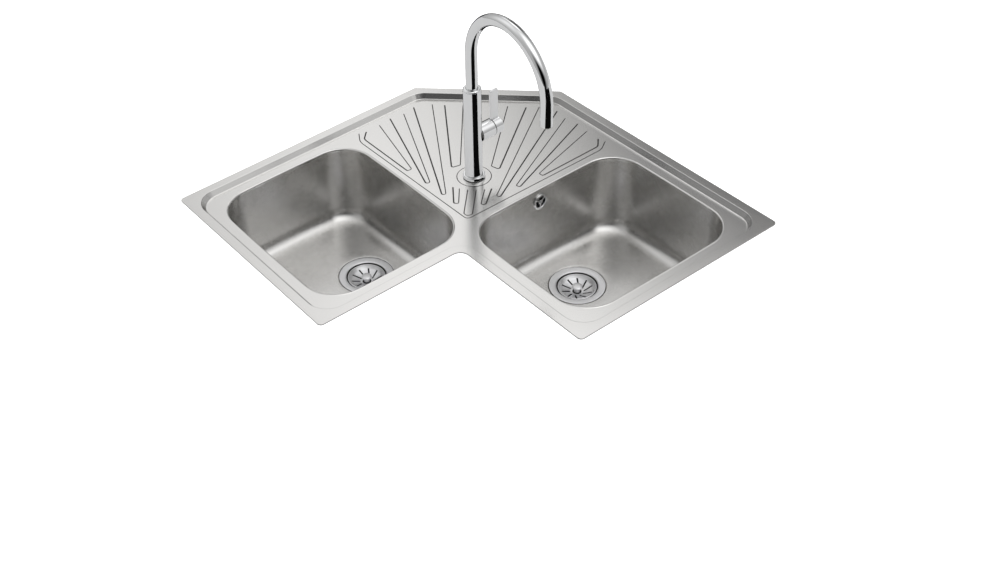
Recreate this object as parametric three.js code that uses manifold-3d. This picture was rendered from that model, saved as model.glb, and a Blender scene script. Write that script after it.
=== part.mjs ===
// Corner kitchen sink with two bowls, drainer, waste kits, overflow and a swivel tap. Millimetres, +Z up.
// The object is built from the room corner: x runs along one wall and y along the other, and z = 0 is the
// worktop's surface. The whole is then moved so that the origin lies under the back chamfer of the rim.
import * as THREE from 'three';
import { mergeGeometries, mergeVertices } from 'three/addons/utils/BufferGeometryUtils.js';
import Module from 'manifold-3d';

const wasm = await Module();
wasm.setup();

// ---- driving dimensions -------------------------------------------------------------------------------

// outline of the rim
const ARM_LENGTH = 830;
const ARM_WIDTH = 500;
const BACK_CHAMFER = 225;
const OUTER_CORNER = 9;
const NOTCH_CORNER = 20;
const SEAT_INSET = 5.5;

// pressed deck
const SHEET = 0.75;
const RIM_STAND = 2;
const RIM_WIDTH = 19.5;
const STEP_RUN = 8;
const STEP_DEPTH = 11;
const RECESS_CORNER = 47;
const LIP_ROUND = 4.5;
const LIP_DEPTH = 6;
const SEAL_MARGIN = 1.5;
const SEAL_WIDTH = 10.5;

// bowls
const BOWL_WALL_MARGIN = 52;
const BOWL_FRONT_MARGIN = 50;
const BOWL_DRAINER_MARGIN = 21.5;
const BOWL_END_MARGIN = 49;
const BOWL_CORNER = 58;
const BOWL_BULGE = 2.5;
const BOWL_DEPTH = 190;
const WALL_DRAFT = 5;
const FLOOR_FILLET = 30;
const FLOOR_FALL = 2;
const CORNER_TIGHTENING = 0.9;

// drainer
const DRAINER_NOTCH_MARGIN = 75.5;
const DRAINER_APEX = 12;
const DRAINER_BACK_MARGIN = 80;
const DRAINER_SIDE = 50;
const DRAINER_DEPTH = 1;
const RIB_END_SHARE = 0.008;

// wastes
const WASTE_SHIFT = 3;
const WASTE_SETBACK = 114;
const WASTE_RECESS = 58.5;
const RECESS_DEPTH = 3;
const WASTE_HOLE = 43.5;
const FLANGE_RADIUS = 57.5;
const FLANGE_RISE = 2.5;
const THROAT_RADIUS = 41;
const THROAT_WALL = 1.25;
const THROAT_DEPTH = 30;
const GRID_HOLE = 9;
const GRID_PITCH = 22;
const GASKET_THICKNESS = 3;
const CUP_WALL = 2.5;
const CUP_DEPTH = 31.25;
const OUTLET_RADIUS = 24;
const OUTLET_WALL = 3.5;
const OUTLET_LENGTH = 28;
const BASKET_RADIUS = 40.5;
const BASKET_SHEET = 1;
const BASKET_DISH = 13.5;
const BASKET_SLOTS = 10;
const SLOT_WIDTH = 2.4;
const SLOT_START = 14;
const SLOT_END = 32;
const KNOB_RADIUS = 11;
const STOPPER_RADIUS = 33;
const STOPPER_THICKNESS = 3;
const WASTE_SCREW_RADIUS = 3;
const WASTE_SCREW_HEAD = 6;
const OUTLET_NUT_WALL = 6.5;
const OUTLET_NUT_LENGTH = 16;

// overflow
const OVERFLOW_DROP = 42;
const ROSETTE_RADIUS = 17.5;
const ROSETTE_THICKNESS = 3;
const OVERFLOW_HOLE = 13.5;
const ELBOW_RADIUS = 20;
const ELBOW_DEPTH = 22;
const PIPE_RADIUS = 9.75;
const PIPE_WALL = 1.75;
const PIPE_BEND = 24;
const PIPE_ENTRY = 24;

// clips
const WORKTOP = 38;
const CLIP_END_MARGIN = 230;
const CLIP_INSET = 34;
const CLIP_WIDTH = 20;
const CLIP_STEEL = 1.5;
const CLIP_REACH = 26;
const CLIP_TIP = 3;
const TAB_DROP = 26;
const CLIP_SCREW_RADIUS = 2.5;
const CLIP_SCREW_HEIGHT = 18;

// tap
const TAP_SETBACK = 99.5;
const TAP_HOLE = 17.5;
const PLATEAU_RADIUS = 34.75;
const PLATEAU_RISE = 0.75;
const FOOT_RADIUS = 20.5;
const FOOT_HEIGHT = 3;
const COVER_RADIUS = 22.5;
const COVER_HEIGHT = 7;
const BODY_RADIUS = 18;
const BODY_HEIGHT = 210;
const BODY_WALL = 3.5;
const BODY_PLUG = 14;
const COLLAR_HEIGHT = 4;
const SPOUT_RADIUS = 12;
const OUTLET_END_RADIUS = 10.75;
const SPOUT_WALL = 1.5;
const SPOUT_ARC = 115;
const SPOUT_RISE = 81.5;
const SPOUT_DROP = 47;
const SPOUT_INSERT = 50;
const SPOUT_YAW = THREE.MathUtils.degToRad(87);
const SLEEVE_RADIUS = 16.5;
const SLEEVE_HEIGHT = 99.5;
const SLEEVE_LENGTH = 45.75;
const SLEEVE_WALL = 3;
const LEVER_PIVOT_DEPTH = 10;
const CAP_CLEARANCE = 0.9;
const CAP_LENGTH = 68;
const STEM_RADIUS = 4;
const PIN_RADIUS = 1.5;
const TILT_SWEEP = THREE.MathUtils.degToRad(20);
const BLADE_WIDTH = 16;
const BLADE_THICKNESS = 5;
const BLADE_TOP = 86;
const BLADE_TANG = 9;
const WASHER_RADIUS = 26;
const WASHER_THICKNESS = 3;
const STUD_RADIUS = 4;
const STUD_OFFSET = 8;
const STUD_LENGTH = 58;
const TAIL_RADIUS = 5;
const TAIL_WALL = 1.5;
const TAIL_SPREAD = 7.5;
const TAIL_OFFSET = 6;
const TAIL_LENGTH = 70;

// clearances and facets
const GAP = 0.3;
const THREAD_GAP = 0.5;
const FACETS = 20;
const FACETS_SMALL = 12;
const CORNER_STEPS = 5;
const SIDE_STEPS = 2;

// ---- levels and places worked out from the driving dimensions ---------------------------------------

const DECK = RIM_STAND - STEP_DEPTH;
const DECK_UNDERSIDE = DECK - SHEET;
const DRAINER_UNDERSIDE = DECK_UNDERSIDE - DRAINER_DEPTH;
const LIP_EDGE = DECK - LIP_DEPTH;
const FLOOR = RIM_STAND - BOWL_DEPTH;
const STEP_END = RIM_WIDTH + STEP_RUN;
const CLIP_FOOT = -WORKTOP - CLIP_TIP;
const SEAT_POINT = BACK_CHAMFER / 2 + SEAT_INSET;
const DRAINER_EDGE = ARM_WIDTH - DRAINER_NOTCH_MARGIN;
const DRAINER_BACK = BACK_CHAMFER + DRAINER_BACK_MARGIN;
const BOWL_START = DRAINER_EDGE + BOWL_DRAINER_MARGIN;
const BOWL_LONG = ARM_WIDTH - BOWL_WALL_MARGIN - BOWL_FRONT_MARGIN;
const BOWL_SHORT = ARM_LENGTH - BOWL_END_MARGIN - BOWL_START;
const TAP_PLACE = DRAINER_EDGE - TAP_SETBACK;
const SPOUT_SEAT = BODY_HEIGHT - SPOUT_INSERT;
const SPOUT_ARC_HEIGHT = BODY_HEIGHT + SPOUT_RISE;
const SPOUT_END_HEIGHT = SPOUT_ARC_HEIGHT - SPOUT_DROP;

// ---- finishes -----------------------------------------------------------------------------------------

const finish = (color, roughness, metalness) => new THREE.MeshStandardMaterial({
  color, roughness, metalness,
});
const FINISH = {
  brushed: () => finish(0xb9b7b3, 0.35, 1),
  polished: () => finish(0xd0d1d2, 0.12, 1),
  chrome: () => finish(0xe2e3e5, 0.05, 1),
  zinc: () => finish(0xa9abad, 0.45, 1),
  brass: () => finish(0xb8934e, 0.35, 1),
  rubber: () => finish(0x1d1d1e, 0.8, 0),
  foam: () => finish(0x3a3b3d, 0.95, 0),
  plastic: () => finish(0x2c2d2f, 0.5, 0),
  white: () => finish(0xe9e9e6, 0.4, 0),
};

// ---- solids -------------------------------------------------------------------------------------------

const QUARTER = Math.PI / 2;
const WELD = 1e-3;

// the same surface with shared corners, no empty triangles, and its faces pointing out
function tidied(geometry) {
  const bare = geometry.clone();
  bare.deleteAttribute('normal');
  bare.deleteAttribute('uv');
  const merged = mergeVertices(bare, WELD);
  const corners = merged.attributes.position;
  const [a, b, c] = [new THREE.Vector3(), new THREE.Vector3(), new THREE.Vector3()];
  const kept = [];
  let volume = 0;
  for (let i = 0; i < merged.index.count; i += 3) {
    const triangle = [0, 1, 2].map((k) => merged.index.getX(i + k));
    if (new Set(triangle).size < 3) continue;
    [a, b, c].forEach((corner, k) => corner.fromBufferAttribute(corners, triangle[k]));
    kept.push(...triangle);
    volume += a.dot(b.cross(c));
  }
  merged.setIndex(volume < 0 ? kept.reverse() : kept);
  return merged;
}

function toManifold(geometry) {
  const closed = tidied(geometry);
  return new wasm.Manifold(new wasm.Mesh({
    numProp: 3,
    vertProperties: new Float32Array(closed.attributes.position.array),
    triVerts: new Uint32Array(closed.index.array),
  }));
}

function fromManifold(shape) {
  const mesh = shape.getMesh();
  const geometry = new THREE.BufferGeometry();
  geometry.setAttribute('position', new THREE.BufferAttribute(mesh.vertProperties, 3));
  geometry.setIndex(new THREE.BufferAttribute(mesh.triVerts, 1));
  return tidied(geometry);
}

const join = (first, ...others) => fromManifold(
  others.reduce((whole, next) => whole.add(toManifold(next)), toManifold(first)),
);
const cut = (first, ...tools) => fromManifold(
  tools.reduce((whole, tool) => whole.subtract(toManifold(tool)), toManifold(first)),
);

// a closed profile of [radius, height] turned about the z axis
function turned(profile, facets = FACETS) {
  const points = profile.map(([radius, height]) => new THREE.Vector2(radius, height));
  const closed = profile[0][0] === 0 && profile[profile.length - 1][0] === 0;
  if (!closed) points.push(points[0].clone());
  return tidied(new THREE.LatheGeometry(points, facets).rotateX(QUARTER));
}

const rod = (radius, low, high, facets = FACETS_SMALL) =>
  turned([[0, low], [radius, low], [radius, high], [0, high]], facets);

const ring = (inner, outer, low, high, facets = FACETS) =>
  turned([[inner, low], [outer, low], [outer, high], [inner, high]], facets);

const block = (width, depth, height, x = 0, y = 0, z = 0) =>
  tidied(new THREE.BoxGeometry(width, depth, height).translate(x, y, z));

// a flat outline raised from low to high
function plate(points, low, high) {
  const options = { depth: high - low, bevelEnabled: false };
  const raised = new THREE.ExtrudeGeometry(new THREE.Shape(points), options);
  return tidied(raised.translate(0, 0, low));
}

// loops of equal point count joined one to the next; an open skin keeps its first and last loop as edges
function skin(loops, closed) {
  const count = loops[0].length;
  const positions = loops.flat().flatMap((point) => [point.x, point.y, point.z]);
  const index = [];
  for (let i = 0; i < loops.length - (closed ? 0 : 1); i += 1) {
    const next = (i + 1) % loops.length;
    for (let j = 0; j < count; j += 1) {
      const k = (j + 1) % count;
      const [a, b, c, d] = [i * count + j, i * count + k, next * count + k, next * count + j];
      index.push(a, b, c, a, c, d);
    }
  }
  const geometry = new THREE.BufferGeometry();
  geometry.setAttribute('position', new THREE.Float32BufferAttribute(positions, 3));
  geometry.setIndex(index);
  return geometry;
}

const looped = (loops) => tidied(skin(loops, true));

// a flat face with holes, looking up or down
function flat(points, holes, z, looksUp) {
  const shape = new THREE.Shape(points);
  shape.holes = holes.map((hole) => new THREE.Path(hole));
  const face = new THREE.ShapeGeometry(shape).translate(0, 0, z);
  face.deleteAttribute('normal');
  face.deleteAttribute('uv');
  if (!looksUp) face.setIndex([...face.index.array].reverse());
  return face;
}

// ---- outlines -----------------------------------------------------------------------------------------

// a polygon with its corners rounded, each by an arc of the same number of steps
function rounded(corners, radii, steps = CORNER_STEPS) {
  return corners.flatMap((corner, i) => {
    const before = corners[(i + corners.length - 1) % corners.length];
    const after = corners[(i + 1) % corners.length];
    const arriving = corner.clone().sub(before).normalize();
    const leaving = after.clone().sub(corner).normalize();
    const turn = Math.atan2(arriving.cross(leaving), arriving.dot(leaving));
    const side = Math.sign(turn);
    const start = corner.clone().addScaledVector(arriving, -radii[i] * Math.tan(Math.abs(turn) / 2));
    const centre = start.clone().addScaledVector(new THREE.Vector2(-arriving.y, arriving.x), side * radii[i]);
    const bend = (k) => start.clone().rotateAround(centre, (turn * k) / steps);
    return Array.from({ length: steps + 1 }, (_, k) => bend(k));
  });
}

const RIM_CORNERS = [
  [BACK_CHAMFER, 0], [ARM_LENGTH, 0], [ARM_LENGTH, ARM_WIDTH], [ARM_WIDTH, ARM_WIDTH],
  [ARM_WIDTH, ARM_LENGTH], [0, ARM_LENGTH], [0, BACK_CHAMFER],
].map(([x, y]) => new THREE.Vector2(x, y));
const NOTCH = 3;

// the rim's outline, moved inwards by inset, with its convex corners rounded by corner
function rimOutline(inset, corner) {
  const count = RIM_CORNERS.length;
  const moved = RIM_CORNERS.map((point, i) => {
    const arriving = point.clone().sub(RIM_CORNERS[(i + count - 1) % count]).normalize();
    const leaving = RIM_CORNERS[(i + 1) % count].clone().sub(point).normalize();
    const half = new THREE.Vector2(-arriving.y - leaving.y, arriving.x + leaving.x);
    return point.clone().addScaledVector(half, inset / (1 + arriving.dot(leaving)));
  });
  return rounded(moved, moved.map((_, i) => (i === NOTCH ? NOTCH_CORNER + inset : corner)));
}

const RIGHT_BOWL = {
  centre: new THREE.Vector2(BOWL_WALL_MARGIN + BOWL_LONG / 2, BOWL_START + BOWL_SHORT / 2),
  half: new THREE.Vector2(BOWL_LONG / 2, BOWL_SHORT / 2),
  waste: new THREE.Vector2(BOWL_WALL_MARGIN + BOWL_LONG / 2 + WASTE_SHIFT, BOWL_START + WASTE_SETBACK),
};
const swapped = (point) => new THREE.Vector2(point.y, point.x);
const LEFT_BOWL = {
  centre: swapped(RIGHT_BOWL.centre),
  half: swapped(RIGHT_BOWL.half),
  waste: swapped(RIGHT_BOWL.waste),
};

// a bowl's outline, moved inwards by inset: a rounded rectangle whose sides swell a little
function bowlOutline(bowl, inset) {
  const { half, centre } = bowl;
  const corner = BOWL_CORNER - CORNER_TIGHTENING * inset;
  const width = half.x - inset;
  const depth = half.y - inset;
  const quarters = [[width, -depth], [width, depth], [-width, depth], [-width, -depth]];
  const arcs = rounded(quarters.map(([x, y]) => new THREE.Vector2(x, y)), quarters.map(() => corner));
  const perArc = CORNER_STEPS + 1;
  const sides = arcs.flatMap((point, i) => {
    if (i % perArc !== perArc - 1) return [point];
    const next = arcs[(i + 1) % arcs.length];
    return Array.from({ length: SIDE_STEPS + 1 }, (_, k) => point.clone().lerp(next, k / (SIDE_STEPS + 1)));
  });
  return sides.map(({ x, y }) => new THREE.Vector2(
    centre.x + x * (1 + (BOWL_BULGE / width) * (1 - (y / depth) ** 2)),
    centre.y + y * (1 + (BOWL_BULGE / depth) * (1 - (x / width) ** 2)),
  ));
}

const atHeight = (points, z) => points.map(({ x, y }) => new THREE.Vector3(x, y, z));

// ---- deck ---------------------------------------------------------------------------------------------

// underside, folded edge, flat rim and step, from the deck's underside round to its top
function rimSkin() {
  const profile = [
    [STEP_END + 0.5, DECK_UNDERSIDE, RECESS_CORNER],
    [STEP_END - 2, DECK + 1 - SHEET, RECESS_CORNER],
    [RIM_WIDTH, RIM_STAND - 2 * SHEET, RECESS_CORNER],
    [RIM_WIDTH - 1.25, RIM_STAND - SHEET, RECESS_CORNER],
    [SHEET, RIM_STAND - SHEET, OUTER_CORNER - SHEET],
    [SHEET, 0, OUTER_CORNER - SHEET],
    [0, 0, OUTER_CORNER],
    [0, RIM_STAND - SHEET, OUTER_CORNER],
    [SHEET, RIM_STAND, OUTER_CORNER - SHEET],
    [RIM_WIDTH - 1, RIM_STAND, RECESS_CORNER],
    [RIM_WIDTH + SHEET, RIM_STAND - SHEET, RECESS_CORNER],
    [STEP_END - 1.25, DECK + 1, RECESS_CORNER],
    [STEP_END + 1, DECK, RECESS_CORNER],
  ];
  return skin(profile.map(([inset, z, corner]) => atHeight(rimOutline(inset, corner), z)), false);
}

// the edge that turns down into a bowl, from the deck's top round to its underside
function lipSkin(bowl) {
  const profile = [
    [-LIP_ROUND, DECK],
    [-LIP_ROUND * 0.3, DECK - LIP_ROUND * 0.2],
    [0, DECK - LIP_ROUND * 0.75],
    [0, LIP_EDGE],
    [-SHEET, LIP_EDGE],
    [-SHEET, DECK - LIP_ROUND * 0.75],
    [-LIP_ROUND * 0.3 - SHEET / 2, DECK - LIP_ROUND * 0.2 - SHEET],
    [-LIP_ROUND - SHEET / 2, DECK_UNDERSIDE],
  ];
  return skin(profile.map(([inset, z]) => atHeight(bowlOutline(bowl, inset), z)), false);
}

function deckSkin() {
  const bowls = [RIGHT_BOWL, LEFT_BOWL];
  const holes = (inset) => bowls.map((bowl) => bowlOutline(bowl, inset));
  const top = flat(rimOutline(STEP_END + 1, RECESS_CORNER), holes(-LIP_ROUND), DECK, true);
  const underside = flat(
    rimOutline(STEP_END + 0.5, RECESS_CORNER),
    holes(-LIP_ROUND - SHEET / 2),
    DECK_UNDERSIDE,
    false,
  );
  return tidied(mergeGeometries([rimSkin(), ...bowls.map(lipSkin), top, underside]));
}

const DRAINER_CORNERS = [
  [DRAINER_EDGE, DRAINER_SIDE], [DRAINER_EDGE, DRAINER_EDGE], [DRAINER_SIDE, DRAINER_EDGE],
  [DRAINER_SIDE, DRAINER_BACK - DRAINER_SIDE], [DRAINER_BACK - DRAINER_SIDE, DRAINER_SIDE],
].map(([x, y]) => new THREE.Vector2(x, y));
const drainerOutline = () => rounded(DRAINER_CORNERS, DRAINER_CORNERS.map(() => DRAINER_APEX));

// one arm's ribs: the two edges of each, from the wall side to the bowl side, as [along, across] pairs.
// In shares of the drainer's field: 0 on its edge at the wall, 1 on its edge at the bowl.
const RIBS = [
  [[0.8251, 0.0027], [0.9479, 0.4486], [0.9693, 0.4486], [0.9052, -0.008]],
  [[0.6569, 0.0053], [0.9506, 0.6248], [0.9693, 0.6088], [0.745, -0.008]],
  [[0.4753, 0.0401], [0.9506, 0.761], [0.9666, 0.745], [0.5741, -0.008]],
  [[0.3471, 0.1656], [0.7263, 0.6061], [0.777, 0.5928], [0.4272, 0.0961]],
  [[0.8652, 0.769], [0.9506, 0.8678], [0.9666, 0.8465], [0.8838, 0.737]],
];
const FRONT_RIB = [
  [0.8358, 0.8732], [0.9506, 0.972], [0.9666, 0.972], [0.972, 0.9666], [0.972, 0.9506], [0.8732, 0.8358],
];

function ribs() {
  const across = (share) => DRAINER_SIDE + share * (DRAINER_EDGE - DRAINER_SIDE);
  const onField = ([x, y]) => new THREE.Vector2(across(x), across(y));
  const arm = RIBS.map((rib) => rib.map(onField));
  const mirrored = arm.map((rib) => rib.map(swapped).reverse());
  return [...arm, ...mirrored, FRONT_RIB.map(onField)];
}

const ribEnd = RIB_END_SHARE * (DRAINER_EDGE - DRAINER_SIDE);
const ribPlate = (rib, low, high) => plate(rounded(rib, rib.map(() => ribEnd), 2), low, high);
const atTap = (shape) => shape.translate(TAP_PLACE, TAP_PLACE, 0);

// what is pressed down between the ribs and round the tap's disc
function drainerValleys() {
  const low = DECK - DRAINER_DEPTH;
  const high = DECK + DRAINER_DEPTH;
  const disc = atTap(rod(PLATEAU_RADIUS - 1, low - 1, high + 1, FACETS));
  const lands = ribs().map((rib) => ribPlate(rib, low - 1, high + 1));
  return cut(plate(drainerOutline(), low, high), disc, ...lands);
}

// places of the clips: a point on the rim's edge and the way out of it
const CLIPS = [
  { x: ARM_LENGTH - CLIP_END_MARGIN, y: 0, out: -90 },
  { x: ARM_LENGTH, y: ARM_WIDTH / 2, out: 0 },
  { x: (ARM_WIDTH + ARM_LENGTH) / 2, y: ARM_WIDTH, out: 90 },
  { x: ARM_WIDTH, y: (ARM_WIDTH + ARM_LENGTH) / 2, out: 0 },
  { x: ARM_WIDTH / 2, y: ARM_LENGTH, out: 90 },
  { x: 0, y: ARM_LENGTH - CLIP_END_MARGIN, out: 180 },
];

// a clip's own frame: x points out of the rim, x = 0 on its edge
const clipPlace = (shape, { x, y, out }) => shape.rotateZ(THREE.MathUtils.degToRad(out)).translate(x, y, 0);

const screwHole = () => rod(CLIP_SCREW_RADIUS + GAP, -2 * CLIP_REACH, CLIP_REACH)
  .rotateY(QUARTER)
  .translate(-CLIP_INSET, 0, DECK_UNDERSIDE - CLIP_SCREW_HEIGHT);

function clipTab() {
  const overlap = SHEET / 2;
  const height = TAB_DROP + overlap;
  const x = -CLIP_INSET - CLIP_STEEL / 2;
  const z = DECK_UNDERSIDE + overlap - height / 2;
  return cut(block(CLIP_STEEL, CLIP_WIDTH, height, x, 0, z), screwHole());
}

function deckPanel() {
  const backing = plate(drainerOutline(), DRAINER_UNDERSIDE, DECK_UNDERSIDE + SHEET / 2);
  const disc = atTap(rod(PLATEAU_RADIUS, DRAINER_UNDERSIDE + SHEET / 2, DECK + PLATEAU_RISE, 2 * FACETS));
  const hole = atTap(rod(TAP_HOLE, DRAINER_UNDERSIDE - 1, DECK + PLATEAU_RISE + 1, FACETS));
  const drained = cut(join(deckSkin(), backing), drainerValleys());
  const drilled = cut(join(drained, disc), hole);
  return join(drilled, ...CLIPS.map((clip) => clipPlace(clipTab(), clip)));
}

function rimSeal() {
  const inner = SEAL_MARGIN + SEAL_WIDTH;
  const top = RIM_STAND - SHEET;
  const profile = [[SEAL_MARGIN, 0], [SEAL_MARGIN, top], [inner, top], [inner, 0]];
  return looped(profile.map(([inset, z]) => atHeight(rimOutline(inset, OUTER_CORNER), z)));
}

// ---- bowls --------------------------------------------------------------------------------------------

// how far a bowl's wall has come in at height z, above the fillet
function wallInset(z) {
  const bottom = FLOOR + FLOOR_FALL + FLOOR_FILLET;
  return (WALL_DRAFT * (LIP_EDGE - z)) / (LIP_EDGE - bottom);
}

function wasteCircle(bowl, radius, z) {
  const outline = bowlOutline(bowl, 0);
  const first = outline[0].clone().sub(bowl.waste).angle();
  return outline.map((_, i) => {
    const angle = first + (2 * Math.PI * i) / outline.length;
    return new THREE.Vector3(
      bowl.waste.x + radius * Math.cos(angle),
      bowl.waste.y + radius * Math.sin(angle),
      z,
    );
  });
}

// one face of the bowl's sheet, from the lip down to the waste hole, lying that far outwards
function bowlFace(bowl, outwards) {
  const filletTop = FLOOR + FLOOR_FALL + FLOOR_FILLET;
  const walls = [[0, LIP_EDGE], [wallInset(filletTop), filletTop]];
  const fillet = [1, 2, 3, 4].map((k) => {
    const angle = (k / 4) * (Math.PI / 2);
    return [
      WALL_DRAFT + FLOOR_FILLET * (1 - Math.cos(angle)) + outwards * (1 - Math.cos(angle)),
      filletTop - (FLOOR_FILLET + outwards) * Math.sin(angle),
    ];
  });
  return [
    ...[...walls, ...fillet].map(([inset, z]) => atHeight(bowlOutline(bowl, inset - outwards), z)),
    wasteCircle(bowl, WASTE_RECESS + outwards, FLOOR - outwards),
    wasteCircle(bowl, WASTE_RECESS + outwards, FLOOR - RECESS_DEPTH - outwards),
    wasteCircle(bowl, WASTE_HOLE, FLOOR - RECESS_DEPTH - outwards),
  ];
}

const bowlShell = (bowl) => looped([...bowlFace(bowl, 0), ...bowlFace(bowl, SHEET).reverse()]);

// ---- overflow -----------------------------------------------------------------------------------------

const OVERFLOW_HEIGHT = RIM_STAND - OVERFLOW_DROP;
const OVERFLOW_WALL = RIGHT_BOWL.centre.y - RIGHT_BOWL.half.y - BOWL_BULGE + wallInset(OVERFLOW_HEIGHT);
const ROSETTE_BACK = 0.75;
const OVERFLOW_SCREW_RADIUS = 2;
const OVERFLOW_BOSS = 5;
const OVERFLOW_GASKET = 2;
const GASKET_BACK = -SHEET - ROSETTE_BACK - OVERFLOW_GASKET;
const ELBOW_FRONT = GASKET_BACK;
const ELBOW_BACK = ELBOW_FRONT - ELBOW_DEPTH;
const ELBOW_WALL = 2;
const STUB_AXIS = (ELBOW_FRONT + ELBOW_BACK + ELBOW_WALL) / 2;
const STUB_LENGTH = 34;

// overflow pieces are turned about the way into the bowl, which becomes +y
const intoBowl = (shape) => shape.rotateX(-QUARTER);
const sideways = (shape) => shape.rotateX(QUARTER);

function overflowRosette() {
  const face = ROSETTE_BACK + ROSETTE_THICKNESS;
  const rim = turned([
    [OVERFLOW_HOLE - 1, ROSETTE_BACK], [ROSETTE_RADIUS, ROSETTE_BACK], [ROSETTE_RADIUS, face - 1.5],
    [ROSETTE_RADIUS - 1.5, face], [OVERFLOW_HOLE, face],
  ], FACETS);
  const hub = rod(OVERFLOW_BOSS, ROSETTE_BACK, face - 0.5);
  const spoke = () => block(OVERFLOW_HOLE, 2.5, 1.5, OVERFLOW_HOLE / 2, 0, ROSETTE_BACK + 0.75);
  const spokes = [0, 1, 2].map((k) => spoke().rotateZ(QUARTER + (2 * Math.PI * k) / 3));
  const hole = rod(OVERFLOW_SCREW_RADIUS + GAP, -1, face + 1);
  return intoBowl(cut(join(rim, hub, ...spokes), hole));
}

function overflowScrew() {
  const face = ROSETTE_BACK + ROSETTE_THICKNESS - 0.5;
  return intoBowl(turned([
    [0, ELBOW_BACK + ELBOW_WALL], [OVERFLOW_SCREW_RADIUS, ELBOW_BACK + ELBOW_WALL],
    [OVERFLOW_SCREW_RADIUS, face], [OVERFLOW_BOSS - 1, face], [OVERFLOW_BOSS - 1.5, face + 1.5],
    [0, face + 1.5],
  ], FACETS_SMALL));
}

const overflowGasket = () => intoBowl(ring(
  OVERFLOW_HOLE + 0.5, ELBOW_RADIUS - 1.5, GASKET_BACK, GASKET_BACK + OVERFLOW_GASKET, FACETS,
));

function overflowElbow() {
  const screwHoleRadius = OVERFLOW_SCREW_RADIUS + GAP;
  const bossFront = ELBOW_FRONT - 4;
  const cup = turned([
    [OVERFLOW_HOLE, ELBOW_FRONT], [ELBOW_RADIUS, ELBOW_FRONT], [ELBOW_RADIUS, ELBOW_BACK],
    [screwHoleRadius, ELBOW_BACK], [screwHoleRadius, bossFront], [OVERFLOW_BOSS, bossFront],
    [OVERFLOW_BOSS, ELBOW_BACK + ELBOW_WALL], [OVERFLOW_HOLE, ELBOW_BACK + ELBOW_WALL],
  ], FACETS);
  const inside = OVERFLOW_HOLE + ELBOW_WALL / 2;
  const stub = rod(PIPE_RADIUS, -STUB_LENGTH, -inside).translate(0, STUB_AXIS, 0);
  const bore = rod(PIPE_RADIUS - PIPE_WALL, -STUB_LENGTH - 1, -OVERFLOW_BOSS - 2).translate(0, STUB_AXIS, 0);
  return cut(join(intoBowl(cup), stub), bore);
}

// a round tube in a vertical plane through stations of {along, up, heading, radius}, heading from upright
function bentTube(stations, wall, facets) {
  const loop = ({ along, up, heading, radius }, depth) => Array.from({ length: facets }, (_, k) => {
    const angle = (2 * Math.PI * k) / facets;
    const reach = (radius - depth) * Math.cos(angle);
    return new THREE.Vector3(
      along + reach * Math.cos(heading),
      (radius - depth) * Math.sin(angle),
      up - reach * Math.sin(heading),
    );
  });
  const outer = stations.map((station) => loop(station, 0));
  const inner = stations.map((station) => loop(station, wall)).reverse();
  return looped([...outer, ...inner]);
}

const PIPE_TURN = 5;

function overflowPipe() {
  const top = OVERFLOW_HEIGHT - STUB_LENGTH - GAP;
  const level = FLOOR - PIPE_ENTRY;
  const start = OVERFLOW_WALL + STUB_AXIS;
  const end = RIGHT_BOWL.waste.y - WASTE_STUB_END - GAP;
  const bend = Array.from({ length: PIPE_TURN + 1 }, (_, k) => {
    const angle = (k / PIPE_TURN) * (Math.PI / 2);
    return {
      along: start + PIPE_BEND * (1 - Math.cos(angle)),
      up: level + PIPE_BEND * (1 - Math.sin(angle)),
      heading: Math.PI - angle,
      radius: PIPE_RADIUS,
    };
  });
  const stations = [
    { along: start, up: top, heading: Math.PI, radius: PIPE_RADIUS },
    ...bend,
    { along: end, up: level, heading: Math.PI / 2, radius: PIPE_RADIUS },
  ];
  return bentTube(stations, PIPE_WALL, FACETS_SMALL).rotateZ(QUARTER).translate(RIGHT_BOWL.waste.x, 0, 0);
}

// ---- waste kit, in a frame with its centre at the bowl's floor ---------------------------------------

const FLANGE_UNDERSIDE = -FLANGE_RISE;
const SHEET_UNDERSIDE = -RECESS_DEPTH - SHEET;
const CUP_TOP = SHEET_UNDERSIDE - GASKET_THICKNESS;
const GRID_UNDERSIDE = -THROAT_DEPTH;
const GRID_TOP = GRID_UNDERSIDE + THROAT_WALL;
const STOPPER_TOP = GRID_TOP + STOPPER_THICKNESS;
const SCREW_SHAFT = -THROAT_DEPTH - 12;
const CUP_INSIDE = THROAT_RADIUS + THROAT_WALL + 3.25;
const CUP_OUTSIDE = CUP_INSIDE + CUP_WALL;
const CUP_FLANGE = FLANGE_RADIUS - 2.5;
const FUNNEL_TOP = CUP_TOP - CUP_DEPTH;
const FUNNEL_BOTTOM = FUNNEL_TOP - (CUP_OUTSIDE - OUTLET_RADIUS);
const OUTLET_END = FUNNEL_BOTTOM - OUTLET_LENGTH;
const OUTLET_INSIDE = OUTLET_RADIUS - OUTLET_WALL;
const WASTE_STUB_END = CUP_OUTSIDE + 14;
const HUB_RADIUS = 8.5;

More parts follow.
